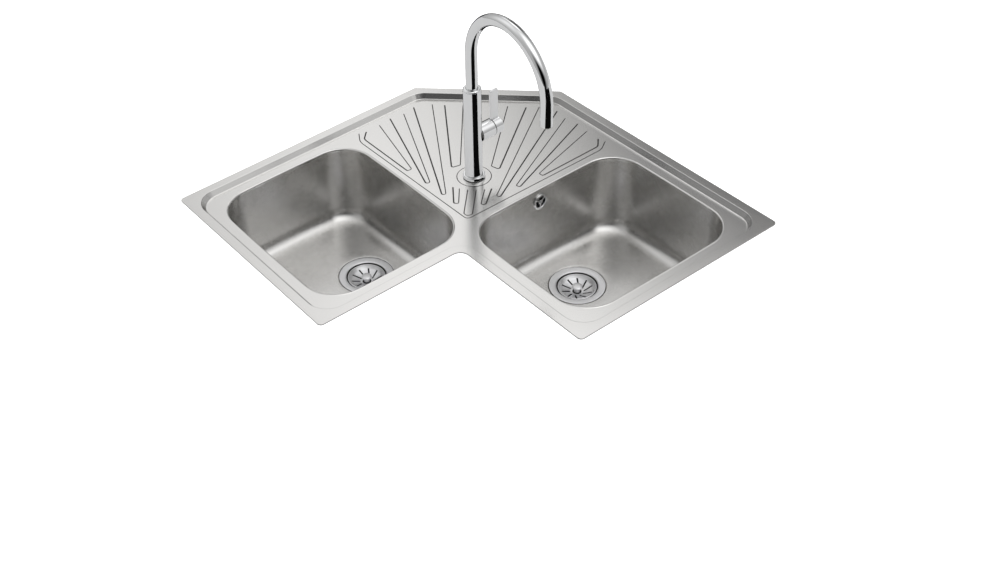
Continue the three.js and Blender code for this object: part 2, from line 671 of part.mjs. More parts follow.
function wasteFlange() {
  const wall = THROAT_RADIUS + THROAT_WALL;
  const dish = turned([
    [FLANGE_RADIUS, FLANGE_UNDERSIDE], [FLANGE_RADIUS, -0.75], [FLANGE_RADIUS - 1, 0],
    [THROAT_RADIUS + 5, 0], [THROAT_RADIUS + 1.75, -1.5], [THROAT_RADIUS, -5],
    [THROAT_RADIUS, GRID_TOP], [WASTE_SCREW_RADIUS + GAP, GRID_TOP],
    [WASTE_SCREW_RADIUS + GAP, GRID_UNDERSIDE], [wall, GRID_UNDERSIDE], [wall, -6],
    [wall + 0.75, FLANGE_UNDERSIDE],
  ]);
  const holes = [0, 1, 2, 3].map((k) => rod(GRID_HOLE, GRID_UNDERSIDE - 1, GRID_TOP + 1, 8)
    .translate(GRID_PITCH, 0, 0)
    .rotateZ((k + 0.5) * QUARTER));
  return cut(dish, ...holes);
}

const flangeSeal = () => ring(WASTE_HOLE + 1, FLANGE_RADIUS - 1.5, -RECESS_DEPTH, FLANGE_UNDERSIDE, FACETS);

const bodyGasket = () => ring(WASTE_HOLE + 1, CUP_FLANGE - 1, CUP_TOP, SHEET_UNDERSIDE, FACETS);

function wasteBody(withStub) {
  const cup = turned([
    [CUP_INSIDE, CUP_TOP], [CUP_FLANGE, CUP_TOP], [CUP_FLANGE, CUP_TOP - 5], [CUP_OUTSIDE, CUP_TOP - 7],
    [CUP_OUTSIDE, FUNNEL_TOP], [OUTLET_RADIUS, FUNNEL_BOTTOM], [OUTLET_RADIUS, OUTLET_END],
    [OUTLET_INSIDE, OUTLET_END], [OUTLET_INSIDE, FUNNEL_BOTTOM], [CUP_INSIDE, FUNNEL_TOP + CUP_WALL / 2],
  ]);
  const bridgeHeight = 7;
  const bridgeTop = GRID_UNDERSIDE - 1;
  const bridge = block(2 * CUP_INSIDE + 1, 8, bridgeHeight, 0, 0, bridgeTop - bridgeHeight / 2);
  const boss = rod(WASTE_SCREW_RADIUS + 4, bridgeTop - 13, GRID_UNDERSIDE);
  const hole = rod(WASTE_SCREW_RADIUS + GAP, bridgeTop - 14, GRID_UNDERSIDE + 1);
  const held = cut(join(cup, bridge, boss), hole);
  if (!withStub) return held;
  const entry = (radius, from, to) => sideways(rod(radius, from, to)).translate(0, 0, -PIPE_ENTRY);
  const stub = entry(PIPE_RADIUS, CUP_INSIDE + 1, WASTE_STUB_END);
  const bore = entry(PIPE_RADIUS - PIPE_WALL, CUP_INSIDE - 3, WASTE_STUB_END + 1);
  return cut(join(held, stub), bore);
}

const wasteScrew = () => turned([
  [0, SCREW_SHAFT], [WASTE_SCREW_RADIUS, SCREW_SHAFT], [WASTE_SCREW_RADIUS, GRID_TOP],
  [WASTE_SCREW_HEAD, GRID_TOP], [WASTE_SCREW_HEAD, GRID_TOP + 2], [WASTE_SCREW_HEAD - 1.5, GRID_TOP + 3.5],
  [0, GRID_TOP + 3.5],
], FACETS_SMALL);

// dished strainer with a hub that carries the stopper
function basket() {
  const sheet = BASKET_SHEET;
  const hubInside = HUB_RADIUS - 2;
  const dish = turned([
    [STEM_HOLE, -BASKET_DISH], [STEM_HOLE, -BASKET_DISH - 2], [hubInside, -BASKET_DISH - 2],
    [hubInside, STOPPER_TOP], [STOPPER_RADIUS - 3, STOPPER_TOP], [STOPPER_RADIUS - 3, STOPPER_TOP + sheet],
    [HUB_RADIUS, STOPPER_TOP + sheet], [HUB_RADIUS, -BASKET_DISH - sheet], [15, -BASKET_DISH - sheet],
    [27, -12 - sheet], [35, -8 - sheet], [BASKET_RADIUS - 2, -4 - sheet], [BASKET_RADIUS, -4 - sheet],
    [BASKET_RADIUS, -3.5], [BASKET_RADIUS - 1.5, -3], [BASKET_RADIUS - 3, -4], [34.5, -8], [26.5, -12],
    [15, -BASKET_DISH],
  ], FACETS);
  const length = SLOT_END - SLOT_START;
  const middle = (SLOT_START + SLOT_END) / 2;
  const slots = Array.from({ length: BASKET_SLOTS }, (_, k) =>
    block(length, SLOT_WIDTH, BASKET_DISH, middle, 0, -BASKET_DISH / 2 - 3)
      .rotateZ(((k + 0.5) * 2 * Math.PI) / BASKET_SLOTS));
  return cut(dish, ...slots);
}

const KNOB_STEM = 3.75;
const STEM_HOLE = KNOB_STEM + GAP;

const basketKnob = () => turned([
  [0, -BASKET_DISH - 5], [KNOB_STEM, -BASKET_DISH - 5], [KNOB_STEM, -BASKET_DISH], [5.5, -BASKET_DISH],
  [5.5, -7], [KNOB_RADIUS - 1, -6], [KNOB_RADIUS, -4.5], [KNOB_RADIUS - 1, -2.5], [KNOB_RADIUS - 5, -1],
  [0, -0.5],
], FACETS_SMALL);

const basketStopper = () => ring(HUB_RADIUS - 0.5, STOPPER_RADIUS, GRID_TOP, STOPPER_TOP, FACETS);

const outletNut = () => ring(
  OUTLET_RADIUS + THREAD_GAP,
  OUTLET_RADIUS + OUTLET_NUT_WALL,
  OUTLET_END + 2,
  OUTLET_END + 2 + OUTLET_NUT_LENGTH,
);

// ---- clips --------------------------------------------------------------------------------------------

function clipArm() {
  const back = -CLIP_INSET;
  const front = back + CLIP_REACH;
  const top = DECK_UNDERSIDE - 8;
  const outline = [
    [back, CLIP_FOOT], [front, CLIP_FOOT], [front, -WORKTOP], [front - CLIP_STEEL, -WORKTOP],
    [front - CLIP_STEEL, CLIP_FOOT + CLIP_STEEL], [back + CLIP_STEEL, CLIP_FOOT + CLIP_STEEL],
    [back + CLIP_STEEL, top], [back, top],
  ].map(([x, z]) => new THREE.Vector2(x, z));
  const strip = plate(outline, -CLIP_WIDTH / 2, CLIP_WIDTH / 2).rotateX(QUARTER);
  return cut(strip, screwHole());
}

// head on the tab's inner face, point just through the arm
const clipScrew = () => turned([
  [0, -CLIP_STEEL - 4], [5, -CLIP_STEEL - 4], [5, -CLIP_STEEL], [CLIP_SCREW_RADIUS, -CLIP_STEEL],
  [CLIP_SCREW_RADIUS, 4], [0, 4],
], 6).rotateY(QUARTER).translate(-CLIP_INSET, 0, DECK_UNDERSIDE - CLIP_SCREW_HEIGHT);

// ---- tap, in a frame with the foot of its axis on the deck -------------------------------------------

const GASKET_TOP = PLATEAU_RISE + 1;
const SOCKET_DEPTH = 10;
const BODY_BORE = BODY_RADIUS - BODY_WALL;
const LOWER_BORE = BODY_BORE - 1.5;
const SLEEVE_BORE = SLEEVE_RADIUS - SLEEVE_WALL;
const PIVOT = SLEEVE_LENGTH - LEVER_PIVOT_DEPTH;
const BALL = Math.hypot(SLEEVE_RADIUS, LEVER_PIVOT_DEPTH);
const SOCKET = BALL + CAP_CLEARANCE;
const onBall = (radius, ball) => PIVOT + Math.sqrt(ball * ball - radius * radius);
const sweep = (distance) => STEM_RADIUS / Math.cos(TILT_SWEEP) + Math.abs(distance) * Math.tan(TILT_SWEEP);

// tap pieces about the sleeve's axis are turned about z, which becomes -x at the sleeve's height
const alongSleeve = (shape) => shape.rotateY(-QUARTER).translate(0, 0, SLEEVE_HEIGHT);

const tapGasket = () => ring(TAP_HOLE + 0.25, COVER_RADIUS - 0.5, PLATEAU_RISE, GASKET_TOP);

const tapCover = () => turned([
  [FOOT_RADIUS + GAP, GASKET_TOP], [COVER_RADIUS, GASKET_TOP], [COVER_RADIUS, COVER_HEIGHT],
  [COVER_RADIUS - 1.5, COVER_HEIGHT + 1.5], [BODY_RADIUS + GAP, COVER_HEIGHT + 1.5],
  [BODY_RADIUS + GAP, GASKET_TOP + FOOT_HEIGHT + GAP], [FOOT_RADIUS + GAP, GASKET_TOP + FOOT_HEIGHT + GAP],
]);

function tapBody() {
  const column = turned([
    [0, GASKET_TOP], [FOOT_RADIUS, GASKET_TOP], [FOOT_RADIUS, GASKET_TOP + FOOT_HEIGHT],
    [BODY_RADIUS, GASKET_TOP + FOOT_HEIGHT], [BODY_RADIUS, BODY_HEIGHT], [0, BODY_HEIGHT],
  ]);
  const middle = (SLEEVE_RADIUS + SLEEVE_BORE) / 2;
  const inner = SLEEVE_BORE - 1;
  const sleeve = alongSleeve(turned([
    [0, 0], [SLEEVE_RADIUS, 0], [SLEEVE_RADIUS, SLEEVE_LENGTH], [middle, onBall(middle, BALL)],
    [inner, onBall(inner, BALL)], [0, onBall(inner, BALL)],
  ]));
  const shaft = turned([
    [0, BODY_PLUG], [LOWER_BORE, BODY_PLUG], [LOWER_BORE, SPOUT_SEAT], [BODY_BORE, SPOUT_SEAT],
    [BODY_BORE, BODY_HEIGHT + 1], [0, BODY_HEIGHT + 1],
  ]);
  const bore = alongSleeve(rod(SLEEVE_BORE, CARTRIDGE_START - GAP, SLEEVE_LENGTH + BALL, FACETS));
  const stud = rod(STUD_RADIUS + GAP, 0, SOCKET_DEPTH).translate(STUD_OFFSET, 0, 0);
  const tails = [-1, 1].map((side) => rod(TAIL_RADIUS + GAP, 0, SOCKET_DEPTH)
    .translate(-TAIL_OFFSET, side * TAIL_SPREAD, 0));
  return cut(join(column, sleeve), shaft, bore, stud, ...tails);
}

const spoutCollar = () => turned([
  [SPOUT_RADIUS + GAP, BODY_HEIGHT - 10], [BODY_BORE - GAP, BODY_HEIGHT - 10], [BODY_BORE - GAP, BODY_HEIGHT],
  [BODY_RADIUS, BODY_HEIGHT], [BODY_RADIUS, BODY_HEIGHT + COLLAR_HEIGHT - 2],
  [BODY_RADIUS - 2, BODY_HEIGHT + COLLAR_HEIGHT], [SPOUT_RADIUS + GAP, BODY_HEIGHT + COLLAR_HEIGHT],
]);

const spoutSeal = () => ring(
  SPOUT_RADIUS + GAP, BODY_BORE - GAP / 2, BODY_HEIGHT - 30, BODY_HEIGHT - 27, FACETS,
);

const SPOUT_TURN = 12;
const SPOUT_FACETS = 14;

// upright stretch, half circle and the stretch down to the outlet
function spout() {
  const shoulder = BODY_BORE - GAP;
  const seat = SPOUT_SEAT + GAP;
  const taper = (share) => SPOUT_RADIUS + (OUTLET_END_RADIUS - SPOUT_RADIUS) * share;
  const arc = Array.from({ length: SPOUT_TURN + 1 }, (_, k) => {
    const angle = (k / SPOUT_TURN) * Math.PI;
    return {
      along: SPOUT_ARC * (1 - Math.cos(angle)),
      up: SPOUT_ARC_HEIGHT + SPOUT_ARC * Math.sin(angle),
      heading: angle,
      radius: taper(k / (SPOUT_TURN + 1)),
    };
  });
  const stations = [
    { along: 0, up: seat, heading: 0, radius: shoulder },
    { along: 0, up: seat + 4, heading: 0, radius: shoulder },
    { along: 0, up: seat + 4.5, heading: 0, radius: SPOUT_RADIUS },
    ...arc,
    { along: 2 * SPOUT_ARC, up: SPOUT_END_HEIGHT, heading: Math.PI, radius: taper(1) },
  ];
  return bentTube(stations, SPOUT_WALL, SPOUT_FACETS);
}

const AERATOR_RADIUS = OUTLET_END_RADIUS - SPOUT_WALL - GAP;
const AERATOR_LENGTH = 12;
const AERATOR_LOW = SPOUT_END_HEIGHT - 0.5;

const aeratorShell = () => ring(
  AERATOR_RADIUS - 1.5, AERATOR_RADIUS, AERATOR_LOW, AERATOR_LOW + AERATOR_LENGTH, SPOUT_FACETS,
);

function aeratorInsert() {
  const radius = AERATOR_RADIUS - 1.5 - GAP;
  const disc = rod(radius, AERATOR_LOW + 1, AERATOR_LOW + 8, SPOUT_FACETS);
  const holes = Array.from({ length: 6 }, (_, k) => rod(1, AERATOR_LOW, AERATOR_LOW + 9, 6)
    .translate(radius * 0.6, 0, 0)
    .rotateZ((k * Math.PI) / 3));
  return cut(disc, ...holes);
}

const CARTRIDGE_START = 15;
const CARTRIDGE_END = PIVOT - 5.5;
const CARRIER_END = PIVOT + 3.5;
const CARTRIDGE_RADIUS = SLEEVE_BORE - GAP;

const cartridgeBody = () => alongSleeve(turned([
  [0, CARTRIDGE_START], [CARTRIDGE_RADIUS, CARTRIDGE_START], [CARTRIDGE_RADIUS, CARTRIDGE_END],
  [9, CARTRIDGE_END], [9, CARTRIDGE_END - 3], [0, CARTRIDGE_END - 3],
]));

function cartridgeCarrier() {
  const radius = CARTRIDGE_RADIUS - 0.75;
  const low = CARTRIDGE_END + GAP;
  const disc = rod(radius, low, CARRIER_END, FACETS);
  const reach = sweep(Math.max(PIVOT - low, CARRIER_END - PIVOT)) + GAP;
  const slot = block(2 * reach, 2 * (STEM_RADIUS + GAP), CARRIER_END, 0, 0, (low + CARRIER_END) / 2);
  const pinHole = sideways(rod(PIN_RADIUS + GAP, -2 * radius, 2 * radius)).translate(0, 0, PIVOT);
  return alongSleeve(cut(disc, slot, pinHole));
}

const leverPin = () => alongSleeve(
  sideways(rod(PIN_RADIUS, -CARTRIDGE_RADIUS + 2, CARTRIDGE_RADIUS - 2)).translate(0, 0, PIVOT),
);

const STEM_END = PIVOT + SOCKET + 6;

const leverStem = () => alongSleeve(cut(
  rod(STEM_RADIUS, CARTRIDGE_END - 1.5, STEM_END),
  sideways(rod(PIN_RADIUS + GAP, -2 * STEM_RADIUS, 2 * STEM_RADIUS)).translate(0, 0, PIVOT),
));

const NUT_MOUTH = 10.75;

const cartridgeNut = () => alongSleeve(turned([
  [sweep(CARRIER_END - PIVOT) + 2, CARRIER_END + GAP], [CARTRIDGE_RADIUS, CARRIER_END + GAP],
  [CARTRIDGE_RADIUS, onBall(CARTRIDGE_RADIUS, BALL) - GAP], [NUT_MOUTH, onBall(NUT_MOUTH, BALL) - GAP],
]));

const BLADE_START = onBall(SLEEVE_RADIUS, SOCKET);
const TANG_START = BLADE_START + BLADE_WIDTH - BLADE_TANG;
const TANG_ROOT = SLEEVE_RADIUS - 5;
const SET_SCREW_RADIUS = 2;
const SET_SCREW_PLACE = PIVOT + SOCKET + 3;

function leverCap() {
  const hollow = [14, 11, 7.5].map((radius) => [radius, onBall(radius, SOCKET)]);
  const stemBore = STEM_RADIUS + GAP;
  const shell = turned([
    [SLEEVE_RADIUS, BLADE_START], [SLEEVE_RADIUS, CAP_LENGTH - 1.5], [SLEEVE_RADIUS - 1.5, CAP_LENGTH],
    [0, CAP_LENGTH], [0, STEM_END + GAP], [stemBore, STEM_END + GAP], [stemBore, onBall(stemBore, SOCKET)],
    ...hollow.reverse(),
  ]);
  const slotLength = BLADE_TANG + 2 * GAP;
  const slotHeight = SLEEVE_RADIUS - TANG_ROOT + 2;
  const slot = block(
    slotHeight,
    BLADE_THICKNESS + 2 * GAP,
    slotLength,
    TANG_ROOT - GAP + slotHeight / 2,
    0,
    TANG_START + BLADE_TANG / 2,
  );
  const screwHole = rod(SET_SCREW_RADIUS + GAP, 0, 2 * SLEEVE_RADIUS)
    .rotateY(-QUARTER)
    .translate(0, 0, SET_SCREW_PLACE);
  return alongSleeve(cut(shell, slot, screwHole));
}

// set in the slot by its tang, and clear of the cap's round back above it
function leverBlade() {
  const foot = SLEEVE_RADIUS + GAP;
  const end = BLADE_START + BLADE_WIDTH;
  const outline = [
    [TANG_ROOT, TANG_START], [TANG_ROOT, end], [BLADE_TOP, end], [BLADE_TOP, BLADE_START + 5],
    [BLADE_TOP - 1.5, BLADE_START + 1.5], [BLADE_TOP - 5, BLADE_START], [foot, BLADE_START],
    [foot, TANG_START],
  ].map(([x, y]) => new THREE.Vector2(x, y));
  const strip = plate(outline, -BLADE_THICKNESS / 2, BLADE_THICKNESS / 2);
  return alongSleeve(strip.rotateX(QUARTER));
}

const leverSetScrew = () => alongSleeve(
  rod(SET_SCREW_RADIUS, STEM_RADIUS + GAP, STEM_RADIUS + 8)
    .rotateY(-QUARTER)
    .translate(0, 0, SET_SCREW_PLACE),
);

const WASHER_TOP = DRAINER_UNDERSIDE - DECK;
const WASHER_UNDERSIDE = WASHER_TOP - WASHER_THICKNESS;

function clampWasher() {
  const disc = rod(WASHER_RADIUS, WASHER_UNDERSIDE, WASHER_TOP, FACETS);
  const stud = rod(STUD_RADIUS + GAP, WASHER_UNDERSIDE - 1, WASHER_TOP + 1).translate(STUD_OFFSET, 0, 0);
  const reach = TAIL_RADIUS + 2;
  const slot = block(2 * WASHER_RADIUS, 2 * (TAIL_SPREAD + reach), 3 * WASHER_THICKNESS)
    .translate(-TAIL_OFFSET + reach - WASHER_RADIUS, 0, (WASHER_TOP + WASHER_UNDERSIDE) / 2);
  return cut(disc, stud, slot);
}

const clampStud = () => rod(STUD_RADIUS, -STUD_LENGTH, SOCKET_DEPTH - 0.5).translate(STUD_OFFSET, 0, 0);

const clampNut = () => cut(
  rod(STUD_RADIUS + 3.5, WASHER_UNDERSIDE - 7, WASHER_UNDERSIDE, 6),
  rod(STUD_RADIUS + GAP, WASHER_UNDERSIDE - 8, WASHER_UNDERSIDE + 1),
).translate(STUD_OFFSET, 0, 0);

const inletTail = (side) => turned([
  [TAIL_RADIUS - TAIL_WALL, SOCKET_DEPTH - 0.5], [TAIL_RADIUS - TAIL_WALL, -TAIL_LENGTH],
  [TAIL_RADIUS + 2, -TAIL_LENGTH], [TAIL_RADIUS + 2, -TAIL_LENGTH + 10],
  [TAIL_RADIUS, -TAIL_LENGTH + 10], [TAIL_RADIUS, SOCKET_DEPTH - 0.5],
], FACETS_SMALL).translate(-TAIL_OFFSET, side * TAIL_SPREAD, 0);

// ---- assembly -----------------------------------------------------------------------------------------

function part(name, shape, material) {
  shape.computeVertexNormals();
  const mesh = new THREE.Mesh(shape, material);
  mesh.name = name;
  return mesh;
}

function wasteKit(side, bowl, withStub) {
  const kit = new THREE.Group();
  kit.position.set(bowl.waste.x, bowl.waste.y, FLOOR);
  kit.add(
    part(`waste_flange_${side}`, wasteFlange(), FINISH.polished()),
    part(`flange_seal_${side}`, flangeSeal(), FINISH.rubber()),
    part(`body_gasket_${side}`, bodyGasket(), FINISH.rubber()),
    part(`waste_body_${side}`, wasteBody(withStub), FINISH.plastic()),
    part(`waste_screw_${side}`, wasteScrew(), FINISH.zinc()),
    part(`basket_${side}`, basket(), FINISH.polished()),
    part(`basket_knob_${side}`, basketKnob(), FINISH.polished()),
    part(`basket_stopper_${side}`, basketStopper(), FINISH.rubber()),
    part(`outlet_nut_${side}`, outletNut(), FINISH.plastic()),
  );
  return kit;
}

function tapAssembly() {
  const tap = new THREE.Group();
  tap.position.set(TAP_PLACE, TAP_PLACE, DECK);
  tap.add(
    part('tap_gasket', tapGasket(), FINISH.rubber()),
    part('tap_cover_ring', tapCover(), FINISH.chrome()),
    part('tap_body', tapBody(), FINISH.chrome()),
    part('spout_collar', spoutCollar(), FINISH.chrome()),
    part('spout_seal', spoutSeal(), FINISH.rubber()),
    part('cartridge_body', cartridgeBody(), FINISH.white()),
    part('cartridge_carrier', cartridgeCarrier(), FINISH.white()),
    part('lever_pin', leverPin(), FINISH.zinc()),
    part('lever_stem', leverStem(), FINISH.brass()),
    part('cartridge_nut', cartridgeNut(), FINISH.brass()),
    part('lever_cap', leverCap(), FINISH.chrome()),
    part('lever_blade', leverBlade(), FINISH.chrome()),
    part('lever_set_screw', leverSetScrew(), FINISH.zinc()),
    part('clamp_washer', clampWasher(), FINISH.zinc()),
    part('clamp_stud', clampStud(), FINISH.zinc()),
    part('clamp_nut', clampNut(), FINISH.brass()),
    part('inlet_tail_cold', inletTail(-1), FINISH.brass()),
    part('inlet_tail_hot', inletTail(1), FINISH.brass()),
  );
  const swivel = new THREE.Group();
  swivel.rotation.z = SPOUT_YAW;
  const outlet = new THREE.Group();
  outlet.position.x = 2 * SPOUT_ARC;
  outlet.add(
    part('aerator_shell', aeratorShell(), FINISH.chrome()),
    part('aerator_insert', aeratorInsert(), FINISH.white()),
  );
  swivel.add(part('spout', spout(), FINISH.chrome()), outlet);
  tap.add(swivel);
  return tap;
}

function overflowKit() {
  const kit = new THREE.Group();
  kit.position.set(RIGHT_BOWL.waste.x, OVERFLOW_WALL, OVERFLOW_HEIGHT);
  kit.add(
    part('overflow_rosette', overflowRosette(), FINISH.chrome()),
    part('overflow_screw', overflowScrew(), FINISH.zinc()),
    part('overflow_gasket', overflowGasket(), FINISH.rubber()),
    part('overflow_elbow', overflowElbow(), FINISH.plastic()),
  );
  return kit;
}

const overflowBore = intoBowl(rod(OVERFLOW_HOLE, -10, 10, FACETS))
  .translate(RIGHT_BOWL.waste.x, OVERFLOW_WALL, OVERFLOW_HEIGHT);

const sink = new THREE.Group();
sink.position.set(-SEAT_POINT, -SEAT_POINT, 0);
sink.add(
  part('deck_panel', deckPanel(), FINISH.brushed()),
  part('bowl_right', cut(bowlShell(RIGHT_BOWL), overflowBore), FINISH.brushed()),
  part('bowl_left', bowlShell(LEFT_BOWL), FINISH.brushed()),
  part('rim_seal', rimSeal(), FINISH.foam()),
  wasteKit('right', RIGHT_BOWL, true),
  wasteKit('left', LEFT_BOWL, false),
  overflowKit(),
  part('overflow_pipe', overflowPipe(), FINISH.plastic()),
  tapAssembly(),
);
CLIPS.forEach((clip, i) => {
  sink.add(
    part(`clip_arm_${i + 1}`, clipPlace(clipArm(), clip), FINISH.zinc()),
    part(`clip_screw_${i + 1}`, clipPlace(clipScrew(), clip), FINISH.zinc()),
  );
});

export default sink;
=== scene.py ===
"""Looks of a corner kitchen sink: pressed deck, two bowls, strainer wastes, overflow and a swivel tap.

Shapes are drawn in sheet millimetres: x and y run along the two walls from the room's corner, and z is
counted from the worktop's surface. ``SHEET_TO_FRAME`` puts them in the frame, which is in metres.
"""

import logging
import math
from collections.abc import Callable, Iterable, Sequence
from dataclasses import dataclass, field
from enum import Enum

import bpy
from mathutils import Euler, Matrix, Vector
from mathutils.geometry import delaunay_2d_cdt


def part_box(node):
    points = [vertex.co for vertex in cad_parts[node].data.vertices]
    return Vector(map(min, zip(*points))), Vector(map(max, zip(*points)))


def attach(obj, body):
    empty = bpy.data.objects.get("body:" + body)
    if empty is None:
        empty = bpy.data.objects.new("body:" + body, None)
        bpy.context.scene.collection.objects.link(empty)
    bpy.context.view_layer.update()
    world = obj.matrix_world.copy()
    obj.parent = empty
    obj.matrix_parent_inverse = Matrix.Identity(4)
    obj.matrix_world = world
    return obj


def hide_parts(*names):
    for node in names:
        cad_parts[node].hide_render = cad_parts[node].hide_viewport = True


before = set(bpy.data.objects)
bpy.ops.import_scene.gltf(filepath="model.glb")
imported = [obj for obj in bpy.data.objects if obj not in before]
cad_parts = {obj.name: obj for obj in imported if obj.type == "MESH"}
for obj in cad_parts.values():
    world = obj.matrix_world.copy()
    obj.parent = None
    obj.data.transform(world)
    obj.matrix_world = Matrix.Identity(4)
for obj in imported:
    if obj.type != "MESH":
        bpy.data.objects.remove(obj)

LOG = logging.getLogger("corner_sink")

MM = 0.001
SHEET_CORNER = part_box("deck_panel")[0]
SHEET_TO_FRAME = Matrix.Translation((SHEET_CORNER.x, SHEET_CORNER.y, 0.0)) @ Matrix.Scale(MM, 4)
UPRIGHT = Matrix.Identity(4)
SHARP = 38.0  # degrees from which an edge stays sharp
TINY = 1e-6  # millimetres that count as none
MERGED = 1e-4  # millimetres within which two points become one
Point = tuple[float, float]
Corner = tuple[float, float, float]


# ---- outlines and meshes ------------------------------------------------------------------------------


def fillet(points: Sequence[Point], radii: Sequence[float], steps: int = 6) -> list[Vector]:
    """Rounds the corners of a polygon or of an open line.

    Args:
        points: The corners, in order.
        radii: The radius for each corner; zero keeps it sharp, as at both ends of an open line.
        steps: Steps of each arc.

    Returns:
        The points of the rounded line.
    """
    corners = [Vector(point) for point in points]
    count = len(corners)
    line: list[Vector] = []
    for i, corner in enumerate(corners):
        if radii[i] <= 0:
            line.append(corner)
            continue
        arriving = (corner - corners[i - 1]).normalized()
        leaving = (corners[(i + 1) % count] - corner).normalized()
        turn = math.atan2(arriving.x * leaving.y - arriving.y * leaving.x, arriving.dot(leaving))
        start = corner - arriving * radii[i] * math.tan(abs(turn) / 2)
        centre = start + Vector((-arriving.y, arriving.x)) * math.copysign(radii[i], turn)
        for k in range(steps + 1):
            line.append(centre + Matrix.Rotation(turn * k / steps, 2) @ (start - centre))
    return line


def moved_in(points: Sequence[Point], inset: float) -> list[Vector]:
    """Moves the sides of a polygon inwards.

    Args:
        points: The corners, counter-clockwise.
        inset: How far each side moves.

    Returns:
        The corners of the smaller polygon.
    """
    corners = [Vector(point) for point in points]
    count = len(corners)
    moved = []
    for i, corner in enumerate(corners):
        arriving = (corner - corners[i - 1]).normalized()
        leaving = (corners[(i + 1) % count] - corner).normalized()
        half = Vector((-arriving.y - leaving.y, arriving.x + leaving.x))
        moved.append(corner + half * inset / (1 + arriving.dot(leaving)))
    return moved


def circle(centre: Point, radius: float, count: int) -> list[Vector]:
    """Points of a circle.

    Args:
        centre: Its centre.
        radius: Its radius.
        count: How many points.

    Returns:
        The points, counter-clockwise.
    """
    turns = (2 * math.pi * k / count for k in range(count))
    return [Vector(centre) + radius * Vector((math.cos(turn), math.sin(turn))) for turn in turns]


def holds(polygon: Sequence[Vector], point: Vector) -> bool:
    """Tells whether a point lies inside a polygon.

    Args:
        polygon: The corners.
        point: The point.

    Returns:
        True if it lies inside.
    """
    inside = False
    for i, corner in enumerate(polygon):
        before = polygon[i - 1]
        if (corner.y > point.y) != (before.y > point.y):
            crossing = corner.x + (point.y - corner.y) * (before.x - corner.x) / (before.y - corner.y)
            inside ^= point.x < crossing
    return inside


def filled(
    lines: Sequence[Sequence[Vector]], openings: Sequence[Sequence[Vector]]
) -> tuple[list[Vector], list[tuple[int, ...]], list[list[int]]]:
    """Fills a flat outline with triangles that follow lines, and leaves openings free.

    Args:
        lines: The closed lines; the first is the outline.
        openings: The lines that stay open.

    Returns:
        The points, the faces, and for each point the numbers of the lines' points that it stands for.
    """
    flat: list[Vector] = []
    sides: list[tuple[int, int]] = []
    for line in lines:
        start = len(flat)
        flat += line
        sides += [(start + i, start + (i + 1) % len(line)) for i in range(len(line))]
    points, _, faces, sources, _, _ = delaunay_2d_cdt(flat, sides, [], 0, MERGED)
    kept = []
    for face in faces:
        centre = sum((points[i] for i in face), Vector((0, 0))) / len(face)
        if holds(lines[0], centre) and not any(holds(opening, centre) for opening in openings):
            kept.append(tuple(face))
    return points, kept, sources


def eased(share: float) -> float:
    """Turns a share from 0 to 1 into one that starts and ends level.

    Args:
        share: The share, cut off below 0 and above 1.

    Returns:
        The eased share.
    """
    share = min(max(share, 0.0), 1.0)
    return share * share * (3 - 2 * share)


class Skin:
    """Points and faces of one mesh, collected loop by loop."""

    def __init__(self) -> None:
        """Starts an empty skin."""
        self.points: list[Vector] = []
        self.faces: list[tuple[int, ...]] = []

    def loop(self, points: Iterable[Sequence[float]], z: float | None = None) -> list[int]:
        """Adds the points of a loop.

        Args:
            points: The points, flat ones if z is given.
            z: The height of flat points.

        Returns:
            The numbers of the added points.
        """
        start = len(self.points)
        self.points += [Vector(p) if z is None else Vector((p[0], p[1], z)) for p in points]
        return list(range(start, len(self.points)))

    def bridge(self, first: Sequence[int], second: Sequence[int]) -> None:
        """Joins two loops of equal count with a band of faces; a loop of one point is an apex.

        Args:
            first: The first loop's numbers.
            second: The second loop's numbers.
        """
        count = max(len(first), len(second))
        for i in range(count):
            j = (i + 1) % count
            near = (first[i % len(first)], first[j % len(first)])
            far = (second[j % len(second)], second[i % len(second)])
            self.faces.append(tuple(dict.fromkeys(near + far)))

    def band(self, loops: Sequence[Sequence[int]], wrap: bool = False) -> None:
        """Joins loops one to the next.

        Args:
            loops: The loops' numbers.
            wrap: Whether the last loop joins the first.
        """
        for first, second in zip(loops, loops[1:]):
            self.bridge(first, second)
        if wrap:
            self.bridge(loops[-1], loops[0])

    def close(self, first: Sequence[int], last: Sequence[int]) -> None:
        """Closes the first and the last loop of a band with a face each."""
        self.faces += [tuple(reversed(first)), tuple(last)]

    def solid(self, name: str, place: Matrix) -> bpy.types.Object:
        """Makes the object of a closed skin, with its faces outwards and its flats shaded flat.

        Args:
            name: The object's name.
            place: Where the skin's own axes lie in the sheet's millimetres.

        Returns:
            The object, in the frame.
        """
        shape = self.build(name, place)
        outwards(shape)
        weigh(shape)
        return shape

    def build(self, name: str, place: Matrix = UPRIGHT) -> bpy.types.Object:
        """Makes the Blender object, smooth but for its sharp edges.

        Args:
            name: The object's name.
            place: Where the skin's own axes lie in the sheet's millimetres.

        Returns:
            The object, in the frame.
        """
        matrix = SHEET_TO_FRAME @ place
        mesh = bpy.data.meshes.new(name)
        mesh.from_pydata([matrix @ point for point in self.points], [], self.faces)
        mesh.validate()
        shape = bpy.data.objects.new(name, mesh)
        bpy.context.scene.collection.objects.link(shape)
        soften(mesh)
        return shape


def soften(mesh: bpy.types.Mesh) -> None:
    """Shades a mesh smooth, and keeps edges over ``SHARP`` degrees sharp."""
    mesh.shade_smooth()
    mesh.set_sharp_from_angle(angle=math.radians(SHARP))


